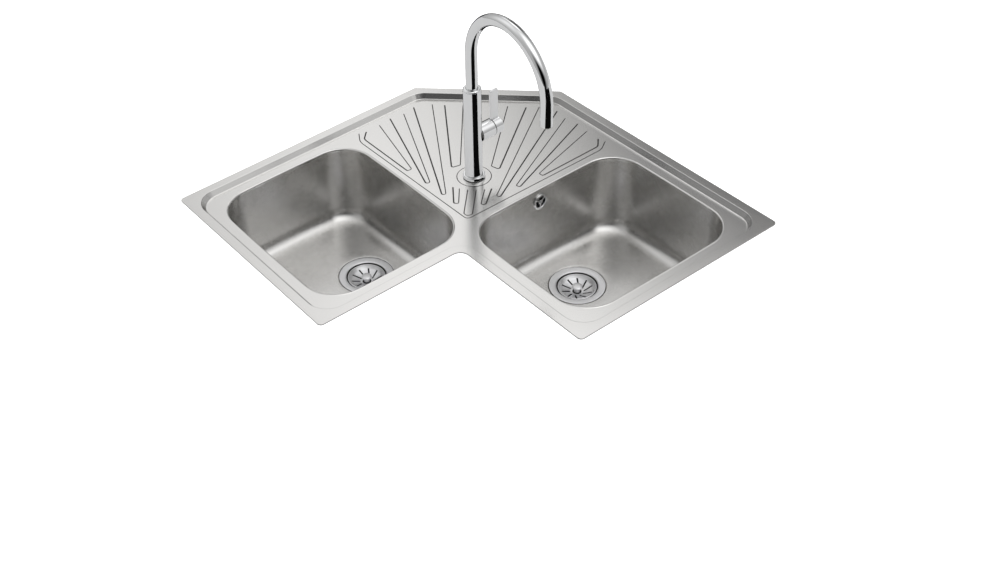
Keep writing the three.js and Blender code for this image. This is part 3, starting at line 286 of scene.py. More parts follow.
def settled(shape: bpy.types.Object) -> bpy.types.Object:
    """Makes the result of an object's modifiers its own mesh, and weighs its shading by face size.

    Args:
        shape: The object.

    Returns:
        The same object.
    """
    graph = bpy.context.evaluated_depsgraph_get()
    mesh = bpy.data.meshes.new_from_object(shape.evaluated_get(graph))
    shape.modifiers.clear()
    shape.data = mesh
    soften(mesh)
    weigh(shape)
    return shape


def weigh(shape: bpy.types.Object) -> None:
    """Lets large faces set the shading of their corners, so flats stay flat."""
    modifier = shape.modifiers.new("shading", "WEIGHTED_NORMAL")
    modifier.keep_sharp = True


def thickened(shape: bpy.types.Object, thickness: float) -> bpy.types.Object:
    """Gives a skin the thickness of its sheet, on the side away from its faces.

    Args:
        shape: The skin.
        thickness: The sheet in millimetres.

    Returns:
        The same object.
    """
    modifier = shape.modifiers.new("sheet", "SOLIDIFY")
    modifier.thickness = thickness * MM
    modifier.offset = -1
    return settled(shape)


def lathe(
    name: str, profile: Sequence[Sequence[float]], place: Matrix, facets: int = 96
) -> bpy.types.Object:
    """Turns a closed profile of radius and height about its axis.

    Args:
        name: The object's name.
        profile: The profile; one that starts and ends on the axis is capped, any other is a ring.
        place: Where the axis lies, in sheet millimetres.
        facets: Facets round the axis.

    Returns:
        The object.
    """
    skin = Skin()
    loops = []
    for radius, height in profile:
        if radius < TINY:
            loops.append(skin.loop([(0, 0, height)]))
        else:
            loops.append(skin.loop(circle((0, 0), radius, facets), height))
    skin.band(loops, wrap=len(loops[0]) > 1)
    return skin.solid(name, place)


def turned(
    name: str, corners: Sequence[Corner], place: Matrix, facets: int = 64, steps: int = 6
) -> bpy.types.Object:
    """Turns a profile with rounded corners about its axis.

    Args:
        name: The object's name.
        corners: Distance from the axis, height and rounding of each corner.
        place: Where the axis lies, in sheet millimetres.
        facets: Facets round the axis.
        steps: Steps of each rounding.

    Returns:
        The object.
    """
    profile = fillet([corner[:2] for corner in corners], [corner[2] for corner in corners], steps)
    return lathe(name, profile, place, facets)


def drill(
    shape: bpy.types.Object, radius: float, low: float, high: float, place: Matrix, facets: int
) -> None:
    """Drills a round hole into an object.

    Args:
        shape: The object.
        radius: The hole's radius.
        low: Where the drill starts on its axis.
        high: Where it ends.
        place: Where the axis lies, in sheet millimetres.
        facets: Facets round the hole.
    """
    cutter = lathe("drill", [(0, low), (radius, low), (radius, high), (0, high)], place, facets)
    cut = shape.modifiers.new("hole", "BOOLEAN")
    cut.operation = "DIFFERENCE"
    cut.solver = "EXACT"
    cut.object = cutter
    settled(shape)
    bpy.data.objects.remove(cutter)


def outwards(shape: bpy.types.Object) -> None:
    """Turns the faces of a closed mesh outwards.

    Args:
        shape: The object.
    """
    mesh = shape.data
    volume = 0.0
    mesh.calc_loop_triangles()
    for triangle in mesh.loop_triangles:
        a, b, c = (mesh.vertices[i].co for i in triangle.vertices)
        volume += a.dot(b.cross(c))
    if volume < 0:
        mesh.flip_normals()


def tube(
    name: str, path: Sequence[tuple[Vector, Vector, float]], wall: float, place: Matrix
) -> bpy.types.Object:
    """Draws a round tube in an upright plane.

    Args:
        name: The object's name.
        path: Stations of centre, heading and outer radius, in the plane y = 0.
        wall: The tube's wall.
        place: Where the plane lies, in sheet millimetres.

    Returns:
        The object.
    """
    skin = Skin()
    facets = 48

    def ring(station: tuple[Vector, Vector, float], depth: float) -> list[int]:
        """Adds one ring of the tube at a given depth below its surface."""
        centre, heading, radius = station
        across = Vector((0, 1, 0))
        other = across.cross(heading)
        turns = circle((0, 0), 1, facets)
        return skin.loop(centre + (radius - depth) * (across * turn.y + other * turn.x) for turn in turns)

    outer = [ring(station, 0) for station in path]
    inner = [ring(station, wall) for station in reversed(path)]
    skin.band([*outer, *inner], wrap=True)
    return skin.solid(name, place)


def at(x: float, y: float, z: float) -> Matrix:
    """A place in the sheet's millimetres."""
    return Matrix.Translation((x, y, z))


# ---- finishes -----------------------------------------------------------------------------------------


class Grain(Enum):
    """How the fine marks of a surface run, as the stretch of their noise along x, y and z."""

    DRAWN_ALONG_X = (0.04, 1.0, 1.0)
    EVEN = (1.0, 1.0, 1.0)
    TURNED = (1.0, 1.0, 0.05)


def blank_material(name: str) -> tuple[bpy.types.Material, bpy.types.NodeTree, bpy.types.Node]:
    """Makes a material and returns it with its nodes and its shader."""
    made = bpy.data.materials.new(name)
    made.use_nodes = True
    return made, made.node_tree, made.node_tree.nodes["Principled BSDF"]


@dataclass(frozen=True)
class Finish:
    """One surface finish: its colour, gloss and fine detail.

    Attributes:
        name: The material's name.
        colour: Linear base colour.
        metallic: One for bare metal, zero for anything else.
        roughness: The middle of the roughness.
        patchiness: How far the roughness wanders from the middle.
        grain: How the fine marks run.
        grain_size: Their size in millimetres.
        grain_depth: Their depth in millimetres.
        mottle: How much lighter and darker the colour gets in soft clouds.
        mottle_size: The clouds' size in millimetres.
    """

    name: str
    colour: tuple[float, float, float]
    metallic: float
    roughness: float
    patchiness: float = 0.03
    grain: Grain = Grain.EVEN
    grain_size: float = 0.6
    grain_depth: float = 0.002
    mottle: float = 0.03
    mottle_size: float = 60.0

    @staticmethod
    def noise(tree: bpy.types.NodeTree, size: float, stretch: Sequence[float]) -> bpy.types.NodeSocket:
        """Adds a noise of a given grain size.

        Args:
            tree: The material's nodes.
            size: The size of its marks in millimetres.
            stretch: The scale along each axis.

        Returns:
            The noise's value.
        """
        place = tree.nodes.new("ShaderNodeTexCoord")
        mapping = tree.nodes.new("ShaderNodeMapping")
        mapping.inputs["Scale"].default_value = stretch
        cloud = tree.nodes.new("ShaderNodeTexNoise")
        cloud.inputs["Scale"].default_value = 1 / (size * MM)
        cloud.inputs["Detail"].default_value = 3
        tree.links.new(place.outputs["Object"], mapping.inputs["Vector"])
        tree.links.new(mapping.outputs["Vector"], cloud.inputs["Vector"])
        return cloud.outputs["Fac"]

    @staticmethod
    def spread(
        tree: bpy.types.NodeTree, value: bpy.types.NodeSocket, low: float, high: float
    ) -> bpy.types.NodeSocket:
        """Maps the middle of a noise to a range.

        Args:
            tree: The material's nodes.
            value: The noise.
            low: The range's low end.
            high: The range's high end.

        Returns:
            The mapped value.
        """
        mapped = tree.nodes.new("ShaderNodeMapRange")
        tail = 0.3
        mapped.inputs["From Min"].default_value = tail
        mapped.inputs["From Max"].default_value = 1 - tail
        mapped.inputs["To Min"].default_value = low
        mapped.inputs["To Max"].default_value = high
        tree.links.new(value, mapped.inputs["Value"])
        return mapped.outputs["Result"]

    def material(self) -> bpy.types.Material:
        """Makes the material, or finds the one made before.

        Returns:
            The material.
        """
        known = bpy.data.materials.get(self.name)
        if known:
            return known
        made, tree, shader = blank_material(self.name)
        shader.inputs["Metallic"].default_value = self.metallic
        clouds = self.noise(tree, self.mottle_size, (1, 1, 1))
        marks = self.noise(tree, self.grain_size, self.grain.value)
        tint = tree.nodes.new("ShaderNodeMix")
        tint.data_type = "RGBA"
        tint.inputs["A"].default_value = (*(c * (1 - self.mottle) for c in self.colour), 1)
        tint.inputs["B"].default_value = (*(min(c * (1 + self.mottle), 1) for c in self.colour), 1)
        tree.links.new(self.spread(tree, clouds, 0, 1), tint.inputs["Factor"])
        tree.links.new(tint.outputs["Result"], shader.inputs["Base Color"])
        low, high = self.roughness - self.patchiness, self.roughness + self.patchiness
        both = tree.nodes.new("ShaderNodeMath")
        both.operation = "ADD"
        tree.links.new(self.spread(tree, clouds, low / 2, high / 2), both.inputs[0])
        tree.links.new(self.spread(tree, marks, low / 2, high / 2), both.inputs[1])
        tree.links.new(both.outputs["Value"], shader.inputs["Roughness"])
        bump = tree.nodes.new("ShaderNodeBump")
        bump.inputs["Distance"].default_value = self.grain_depth * MM
        tree.links.new(marks, bump.inputs["Height"])
        tree.links.new(bump.outputs["Normal"], shader.inputs["Normal"])
        return made

    def on(self, *shapes: bpy.types.Object) -> None:
        """Gives this finish to objects.

        Args:
            *shapes: The objects.
        """
        for shape in shapes:
            shape.data.materials.clear()
            shape.data.materials.append(self.material())

    def on_faces(
        self, shape: bpy.types.Object, picks: Callable[[Vector, Vector], bool], place: Matrix = UPRIGHT
    ) -> None:
        """Gives this finish to some of an object's faces.

        Args:
            shape: The object, which has a finish already.
            picks: Tells from a face's centre and normal whether it is one of them.
            place: The axes, in the sheet's millimetres, in which the centre is told.
        """
        shape.data.materials.append(self.material())
        number = len(shape.data.materials) - 1
        inwards = (SHEET_TO_FRAME @ place).inverted()
        for face in shape.data.polygons:
            if picks(inwards @ face.center, face.normal):
                face.material_index = number


SATIN_SHEET = Finish(
    "satin_steel_sheet", (0.76, 0.752, 0.738), 1, 0.19, 0.012, Grain.DRAWN_ALONG_X, 0.5, 0.0003, 0.01, 90
)
# the bowls' rougher satin steel, its colour darker than the deck's as painted shade of the deep bowls
SATIN_BOWL_AND_PAINTED_SHADE = Finish(
    "satin_bowl_steel_and_painted_shade", (0.66, 0.653, 0.64), 1, 0.27, 0.02, Grain.EVEN, 0.8, 0.0005, 0.02, 70
)
# a darker copy of the satin sheet: painted shade on the step's right and back stretches
PAINTED_SHADE_SHEET = Finish(
    "satin_steel_step_painted_shade", (0.40, 0.396, 0.39), 1, 0.24, 0.02, Grain.DRAWN_ALONG_X, 0.5, 0.0003, 0.02, 60
)
# near-black steel painted as shade on the drainer's creases, the rim's folded edge, the roll into the
# step, the waste's throat and the flange's edge
PAINTED_SHADE_LINES = Finish("painted_shade_lines", (0.09, 0.089, 0.087), 1, 0.42, 0.05, Grain.EVEN, 0.6, 0.0005, 0.10, 12)
# near-black steel painted as shade on the hub under the strainer, so that the slots look dark
PAINTED_SHADE_STEEL = Finish("painted_shade_steel", (0.05, 0.05, 0.052), 1, 0.35, 0.05, Grain.EVEN, 0.7, 0.0006, 0.08, 10)
SATIN_CHROME = Finish(
    "satin_chrome", (0.88, 0.88, 0.885), 1, 0.30, 0.02, Grain.EVEN, 0.6, 0.0004, 0.01, 30
)
POLISHED = Finish("polished_steel", (0.76, 0.755, 0.74), 1, 0.13, 0.02, Grain.EVEN, 0.7, 0.0006, 0.02, 30)
CHROME = Finish("bright_chrome", (0.86, 0.865, 0.87), 1, 0.035, 0.008, Grain.TURNED, 1.2, 0.0002, 0.01, 40)
RUBBER = Finish("black_rubber", (0.018, 0.018, 0.019), 0, 0.72, 0.08, Grain.EVEN, 0.5, 0.02, 0.15, 8)
FOAM = Finish("grey_sealing_foam", (0.045, 0.046, 0.05), 0, 0.92, 0.05, Grain.EVEN, 0.7, 0.08, 0.25, 3)
MOULDED = Finish(
    "black_moulded_plastic", (0.024, 0.025, 0.027), 0, 0.46, 0.06, Grain.EVEN, 0.35, 0.01, 0.12, 14
)
WHITE_PLASTIC = Finish(
    "white_moulded_plastic", (0.78, 0.78, 0.75), 0, 0.38, 0.05, Grain.EVEN, 0.4, 0.006, 0.03, 12
)
BRASS = Finish("plain_brass", (0.70, 0.50, 0.22), 1, 0.30, 0.07, Grain.TURNED, 0.5, 0.004, 0.10, 9)
ZINC = Finish("zinc_plated_steel", (0.55, 0.56, 0.58), 1, 0.38, 0.09, Grain.EVEN, 2.5, 0.003, 0.12, 6)


# ---- the sink's sheet ---------------------------------------------------------------------------------


@dataclass(frozen=True)
class Levels:
    """Heights that the sink's pieces share, in millimetres from the worktop.

    Attributes:
        rim: Top of the flat rim.
        deck: The pressed deck.
        lip: Where a bowl's wall starts, under its lip.
        floor: A bowl's floor at its waste.
    """

    rim: float = 2.0
    deck: float = -9.0
    lip: float = -15.0
    floor: float = -188.0


LEVELS = Levels()
SHEET = 0.75
DRAWN_SHEET = SHEET * 0.95


@dataclass(frozen=True)
class BowlPlan:
    """Where one bowl lies and how large its opening is.

    Attributes:
        side: The bowl's name.
        centre: Its centre.
        half: Half its length and width.
        waste: The centre of its waste.
        corner: The radius of its corners.
        bulge: How far the middle of each side swells.
        tightening: How much a corner's radius shrinks for each millimetre inwards.
    """

    side: str
    centre: Point
    half: Point
    waste: Point
    corner: float = 69.0
    bulge: float = 2.5
    tightening: float = 0.9

    def outline(self, inset: float) -> list[Vector]:
        """The opening's outline.

        Args:
            inset: How far it is moved inwards.

        Returns:
            The outline's points, counter-clockwise.
        """
        width, depth = self.half[0] - inset, self.half[1] - inset
        corners = [(width, -depth), (width, depth), (-width, depth), (-width, -depth)]
        radius = self.corner - self.tightening * inset
        arc_steps, side_parts = 14, 9
        arcs = fillet(corners, [radius] * 4, steps=arc_steps)
        points: list[Vector] = []
        for i, point in enumerate(arcs):
            after = arcs[(i + 1) % len(arcs)]
            parts = side_parts if i % (arc_steps + 1) == arc_steps else 1
            points += [point.lerp(after, k / parts) for k in range(parts)]
        return [
            Vector(
                (
                    self.centre[0] + p.x * (1 + self.bulge / width * (1 - (p.y / depth) ** 2)),
                    self.centre[1] + p.y * (1 + self.bulge / depth * (1 - (p.x / width) ** 2)),
                )
            )
            for p in points
        ]


RIGHT = BowlPlan("right", (250.0, 614.0), (197.0, 167.2), (254.0, 560.0))
LEFT = BowlPlan("left", (611.8, 252.2), (166.3, 197.8), (560.0, 254.0))


@dataclass
class Deck:
    """The pressed sheet round the bowls: rim, step, drainer and the bowls' lips.

    Attributes:
        arm_length: Length of each arm along its wall.
        arm_width: Width of each arm.
        chamfer: How much the back corner is cut off along each wall.
        outer_corner: Radius of the rim's outer corners.
        notch_corner: Radius of the rim in the notch.
        recess_corner: Radius of the step's corners.
        rim_width: Width of the flat rim.
        step_run: How far the step runs inwards.
        margin: Width of the deck's first strip inside the step.
        lip_round: Radius of the bowls' lips.
        drainer_edge: The straight edges of the drainer beside the bowls.
        drainer_end: Where these edges end, near the walls.
        rib_corner: Radius of the ribs' corners at the bowls.
        end_corner: Radius of the outermost rib's corner at the wall.
        crease_widths: Widths of a rib's crease along its inner and its outer line.
        crease_depth: Depth of the creases.
        border_turn: How far before its edge and its end the drainer's border line turns back.
        border_bend: How far past them it bends.
        border_radii: Radii of its bends and of its corner between the bowls.
        tap_place: The tap's place along both walls.
        disc_radius: Radius of the flat disc under the tap.
        disc_rise: Its height over the deck.
        tap_hole: Radius of the tap's hole.
        bowls: The bowls that open in it.
        ribs: The corners of each rib's outline on one side of the drainer; the other mirrors them.
        front_rib: The corners of the rib's outline across the corner between the bowls.
        front_radii: The radii of its outer corners and of its middle one.
        skin: The points and faces drawn so far.
    """

    arm_length: float = 830.0
    arm_width: float = 500.0
    chamfer: float = 225.0
    outer_corner: float = 9.0
    notch_corner: float = 20.0
    recess_corner: float = 47.0
    rim_width: float = 19.5
    step_run: float = 7.6
    margin: float = 8.0
    lip_round: float = 2.4
    drainer_edge: float = 424.5
    drainer_end: float = 61.0
    rib_corner: float = 4.0
    end_corner: float = 15.0
    crease_widths: tuple[float, float] = (2.0, 3.0)
    crease_depth: float = 0.8
    border_turn: Point = (12.0, 14.0)
    border_bend: Point = (3.5, 11.0)
    border_radii: Point = (34.0, 9.0)
    tap_place: float = 325.0
    disc_radius: float = 34.75
    disc_rise: float = 0.3
    tap_hole: float = 17.5
    bowls: tuple[BowlPlan, ...] = (RIGHT, LEFT)
    ribs: tuple[tuple[Point, ...], ...] = (
        ((361, 51), (405, 221), (415.5, 221), (415.5, 70), (397, 52)),
        ((296, 52), (406, 284), (413, 278), (329, 47)),
        ((228, 65), (406, 335), (412, 329), (265, 47)),
        ((180, 112), (322, 277), (341, 272), (210, 86)),
        ((374, 338), (406, 375), (412, 367), (381, 326)),
    )
    front_rib: tuple[Point, ...] = ((352, 364), (406, 418), (418, 418), (418, 406), (364, 352))
    front_radii: Point = (4.0, 7.0)
    skin: Skin = field(default_factory=Skin)

    def rim_loop(self, inset: float, corner: float) -> list[Vector]:
        """The rim's outline.

        Args:
            inset: How far it is moved inwards.
            corner: The radius of the outer corners there.

        Returns:
            The outline's points, counter-clockwise.
        """
        corners = [
            (self.chamfer, 0), (self.arm_length, 0), (self.arm_length, self.arm_width),
            (self.arm_width, self.arm_width), (self.arm_width, self.arm_length),
            (0, self.arm_length), (0, self.chamfer),
        ]  # fmt: skip
        radii = [corner] * len(corners)
        radii[3] = self.notch_corner + inset
        return fillet(moved_in(corners, inset), radii, steps=12)

    def rim(self) -> list[int]:
        """Draws the folded edge, the flat rim and the step.

        Returns:
            The loop on the deck at the step's foot.
        """
        profile = fillet(
            [
                (0.0, 0.0),
                (0.0, LEVELS.rim),
                (self.rim_width, LEVELS.rim),
                (self.rim_width + self.step_run, LEVELS.deck),
                (self.rim_width + self.step_run + self.margin, LEVELS.deck),
            ],
            [0, 0.7, 1.0, 1.6, 0],
        )
        loops = []
        for inset, z in profile:
            # across the flat rim the outline's corners turn from the rim's radius into the step's
            share = eased((inset - 1) / (self.rim_width - 4))
            corner = (self.outer_corner - min(inset, 1)) * (1 - share) + self.recess_corner * share
            corner -= max(inset - self.rim_width, 0)
            loops.append(self.skin.loop(self.rim_loop(inset, corner), z))
        self.skin.band(loops)
        return loops[-1]

    def lip(self, bowl: BowlPlan) -> list[int]:
        """Draws the rounded lip of a bowl's opening.

        Args:
            bowl: The bowl.

        Returns:
            The loop where the lip leaves the deck.
        """
        profile = fillet(
            [(-2 * self.lip_round, LEVELS.deck), (0, LEVELS.deck), (0, LEVELS.lip)],
            [0, self.lip_round, 0],
            steps=8,
        )
        loops = [self.skin.loop(bowl.outline(inset), z) for inset, z in profile]
        self.skin.band([list(reversed(loop)) for loop in loops])
        return loops[0]

    def creases(self) -> list[tuple[list[Vector], tuple[float, float]]]:
        """The lines of the drainer: both sides of each rib, and the drainer's edge along the bowls.

        Returns:
            Each line's points and the crease's width at its start and its end.
        """
        corner = self.rib_corner
        lines = []
        for rib in self.ribs:
            for points in (rib, tuple((y, x) for x, y in rib)):
                radii = [0, *[corner] * (len(points) - 2), 0]
                if len(points) == 5:  # only the outermost rib turns once more, at the wall
                    radii[3] = self.end_corner
                lines.append((fillet(points, radii), self.crease_widths))
        narrow = self.crease_widths[0]
        outer, middle = self.front_radii
        front = fillet(self.front_rib, [0, outer, middle, outer, 0])
        lines.append((front, (narrow, narrow)))
        edge, end = self.drainer_edge, self.drainer_end
        turn = (edge - self.border_turn[0], end - self.border_turn[1])
        bend = (edge + self.border_bend[0], end + self.border_bend[1])
        border = [turn, bend, (edge, edge), (bend[1], bend[0]), (turn[1], turn[0])]
        wide, tight = self.border_radii
        lines.append((fillet(border, [0, wide, tight, wide, 0]), (narrow, narrow)))
        return lines

    @staticmethod
    def stroke(path: Sequence[Vector], widths: tuple[float, float], share: float) -> list[Vector]:
        """The outline of a line drawn with a round pen.

        Args:
            path: The line's points.
            widths: The pen's width at the line's start and end.
            share: The share of the pen's width.

        Returns:
            The outline, counter-clockwise.
        """
        count = len(path)
        taper_start, taper_share, cap_parts = 0.3, 0.4, 5
        left, right = [], []
        for i, point in enumerate(path):
            along = (path[min(i + 1, count - 1)] - path[max(i - 1, 0)]).normalized()
            gone = eased((i / (count - 1) - taper_start) / taper_share)
            half = share / 2 * (widths[0] + (widths[1] - widths[0]) * gone)
            across = Vector((-along.y, along.x)) * half
            left.append(point + across)
            right.append(point - across)

        def cap(centre: Vector, start: Vector) -> list[Vector]:
            """The round end that starts at a point, without its two ends."""
            arm = start - centre
            angles = [math.pi * k / cap_parts for k in range(1, cap_parts)]
            turns = [(math.cos(angle), math.sin(angle)) for angle in angles]
            return [centre + Vector((arm.x * c - arm.y * s, arm.x * s + arm.y * c)) for c, s in turns]

        return [*right, *cap(path[-1], right[-1]), *reversed(left), *cap(path[0], left[0])]

    def press(self, edges: Sequence[list[int]]) -> None:
        """Fills the deck between its edges, with the drainer's creases and the tap's disc pressed in.

        Args:
            edges: The loops of the step's foot and of the bowls' lips.
        """
        level, depth = LEVELS.deck, self.crease_depth
        lines = [([self.skin.points[i].xy for i in edge], level) for edge in edges]
        shares_and_depths = ((1.0, 0.0), (0.7, 0.6), (0.3, 1.0))
        for path, widths in self.creases():
            for share, sunk in shares_and_depths:
                lines.append((self.stroke(path, widths, share), level - depth * sunk))
        tap = (self.tap_place, self.tap_place)
        # a groove round the tap's disc: distances from the disc's edge, and heights over the deck
        groove = ((1.1, 0.0), (0.7, -depth), (0.0, -depth), (-0.6, self.disc_rise))
        lines += [(circle(tap, self.disc_radius + out, 120), level + rise) for out, rise in groove]
        hole = circle(tap, self.tap_hole, 48)
        lines.append((hole, level + self.disc_rise))
        heights = [height for line, height in lines for _ in line]
        known = [number for edge in edges for number in edge]
        openings = [*(line for line, _ in lines[1 : len(edges)]), hole]
        points, faces, sources = filled([line for line, _ in lines], openings)
        numbers = []
        for point, source in zip(points, sources):
            first = min(source, default=None)
            if first is not None and first < len(known):
                numbers.append(known[first])
            else:
                height = level if first is None else heights[first]
                numbers.append(self.skin.loop([point], height)[0])
        self.skin.faces += [tuple(numbers[i] for i in face) for face in faces]

    def creased(self, centre: Vector, normal: Vector) -> bool:
        """Tells whether a face, by its centre and normal, belongs to a crease of the drainer, which gets
        painted shade.
        """
        past_edge, before_end, shallow, spare = 4, 25, 0.15, 0.1
        low, high = sorted(centre.xy)
        inside = high < self.drainer_edge + past_edge and low > self.drainer_end - before_end
        sunk = LEVELS.deck - centre.z
        return inside and normal.z > 0 and shallow < sunk < self.crease_depth + spare

    def on_step(self, centre: Vector, normal: Vector) -> bool:
        """Tells whether a face belongs to the step between rim and deck."""
        over_deck, under_rim = 1.3, 1.0
        return normal.z > 0 and LEVELS.deck + over_deck < centre.z < LEVELS.rim - under_rim

    def in_shade(self, centre: Vector, normal: Vector) -> bool:
        """Tells whether a face belongs to the step's stretches at the right and the back, which get
        painted shade.
        """
        leaning = 0.2
        return self.on_step(centre, normal) and normal.x > leaning

    def on_front_roll(self, centre: Vector, normal: Vector) -> bool:
        """Tells whether a face belongs to the roll from the rim into the step, at the front and ends,
        which gets painted shade.
        """
        front, off_wall, roll_depth = 430, 12, 1.2
        steepest, flattest, leaning = 0.6, 0.97, -0.15
        low, high = sorted(centre.xy)
        there = high > front and low > off_wall and centre.z > LEVELS.rim - roll_depth
        return there and steepest < normal.z < flattest and min(normal.x, normal.y) < leaning

    def on_edge(self, centre: Vector, normal: Vector) -> bool:
        """Tells whether a face belongs to the rim's folded edge, which gets painted shade."""
        steep = abs(normal.z) < 0.55
        return steep and 0 < centre.z < LEVELS.rim and not self.on_step(centre, normal)

    def build(self) -> None:
        """Builds the deck and dresses it."""
        foot = self.rim()
        lips = [self.lip(bowl) for bowl in self.bowls]
        self.press([foot, *lips])
        sheet = thickened(self.skin.build("deck_sheet"), DRAWN_SHEET)
        SATIN_SHEET.on(sheet)
        # painted shade: near-black steel on the drainer's creases
        PAINTED_SHADE_LINES.on_faces(sheet, self.creased)
        # painted shade: darker steel on the step's right and back stretches
        PAINTED_SHADE_SHEET.on_faces(sheet, self.in_shade)
        # painted shade: near-black steel on the rim's folded edge and on the roll into the step at the
        # front
        PAINTED_SHADE_LINES.on_faces(sheet, self.on_edge)
        PAINTED_SHADE_LINES.on_faces(sheet, self.on_front_roll)
        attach(sheet, "sink")
        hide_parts("deck_panel")
        LOG.info("deck_sheet: %d faces", len(sheet.data.polygons))


@dataclass
class ClipTabs:
    """The tabs welded under the deck that the clips are screwed to.

    Attributes:
        inset: How far each tab stands inside the rim's edge.
        width: A tab's width.
        drop: How far it hangs down.
        thickness: Its steel.
        screw_drop: How far under the deck the screw's hole is.
        screw_hole: The hole's radius.
        corner: Radius of its lower corners.
        places: Where each stands on the rim's edge, and the direction it faces in degrees.
    """

    inset: float = 34.0
    width: float = 20.0
    drop: float = 26.0
    thickness: float = 1.5
    screw_drop: float = 18.0
    screw_hole: float = 2.8
    corner: float = 4.0
    places: tuple[tuple[float, float, float], ...] = (
        (600, 0, -90), (830, 250, 0), (665, 500, 90), (500, 665, 0), (250, 830, 90), (0, 600, 180),
    )  # fmt: skip

    def build(self) -> None:
        """Builds the six tabs and dresses them."""
        top = LEVELS.deck - SHEET
        half = self.width / 2
        corners = [(-half, -self.drop), (half, -self.drop), (half, 0), (-half, 0)]
        outline = fillet(corners, [self.corner, self.corner, 0, 0])
        hole = circle((0, -self.screw_drop), self.screw_hole, 24)
        points, faces, _ = filled([outline, hole], [hole])
        for number, (x, y, out) in enumerate(self.places, 1):
            skin = Skin()
            skin.loop((0, p.x, p.y) for p in points)
            skin.faces += faces
            turn = Matrix.Rotation(math.radians(out), 4, "Z")
            place = at(x, y, top) @ turn @ at(-self.inset, 0, 0)
            tab = thickened(skin.build(f"clip_tab_{number}", place), self.thickness)
            SATIN_SHEET.on(tab)
            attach(tab, "sink")
        LOG.info("clip_tab_1 to clip_tab_%d", len(self.places))


@dataclass
class Bowl:
    """One deep-drawn bowl under its opening.

    Attributes:
        plan: Where the bowl lies.
        draft: How far the walls lean in on their way down.
        fillet_radius: Radius between walls and floor.
        fall: How much lower the floor is at the waste.
        recess: Radius of the recess that takes the waste's flange.
        recess_depth: Its depth.
        waste_hole: Radius of the waste's hole.
    """

    plan: BowlPlan
    draft: float = 5.0
    fillet_radius: float = 30.0
    fall: float = 2.0
    recess: float = 58.5
    recess_depth: float = 3.0
    waste_hole: float = 43.5

    def wall_inset(self, z: float) -> float:
        """How far the wall has come in at a height.

        Args:
            z: The height.

        Returns:
            The inset.
        """
        foot = LEVELS.floor + self.fall + self.fillet_radius
        return self.draft * (LEVELS.lip - z) / (LEVELS.lip - foot)

    def wall_profile(self) -> list[Point]:
        """The wall and its fillet as insets and heights.

        Returns:
            The profile from the lip to the floor.
        """
        foot = LEVELS.floor + self.fall + self.fillet_radius
        heights = [LEVELS.lip + (foot - LEVELS.lip) * k / 5 for k in range(6)]
        profile = [(self.wall_inset(z), z) for z in heights]
        for k in range(1, 13):
            angle = k / 12 * math.pi / 2
            inset = self.draft + self.fillet_radius * (1 - math.cos(angle))
            profile.append((inset, foot - self.fillet_radius * math.sin(angle)))
        return profile

    def build(self) -> bpy.types.Object:
        """Builds the bowl's shell and dresses it.

        Returns:
            The shell.
        """
        skin = Skin()
        profile = self.wall_profile()
        loops = [skin.loop(self.plan.outline(inset), z) for inset, z in profile]
        edge = self.plan.outline(profile[-1][0])
        waste = Vector(self.plan.waste)

        def towards_waste(radius: float) -> list[Vector]:
            """Points round the waste, each in the direction of its point on the wall."""
            return [waste + radius * (point - waste).normalized() for point in edge]

        steps = 8
        for k in range(1, steps + 1):
            share = k / steps
            ring = [a.lerp(b, share) for a, b in zip(edge, towards_waste(self.recess + 1.5))]
            loops.append(skin.loop(ring, profile[-1][1] - self.fall * eased(share)))
        drop = LEVELS.floor - self.recess_depth
        recess = ((self.recess + 0.4, LEVELS.floor - 0.5), (self.recess, drop), (self.waste_hole, drop))
        loops += [skin.loop(towards_waste(radius), z) for radius, z in recess]
        skin.band([list(reversed(loop)) for loop in loops])
        shell = thickened(skin.build(f"bowl_{self.plan.side}_shell"), DRAWN_SHEET)
        # the bowls' steel, its colour darkened as painted shade
        SATIN_BOWL_AND_PAINTED_SHADE.on(shell)
        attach(shell, "sink")
        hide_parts(f"bowl_{self.plan.side}")
        LOG.info("%s: %d faces", shell.name, len(shell.data.polygons))
        return shell


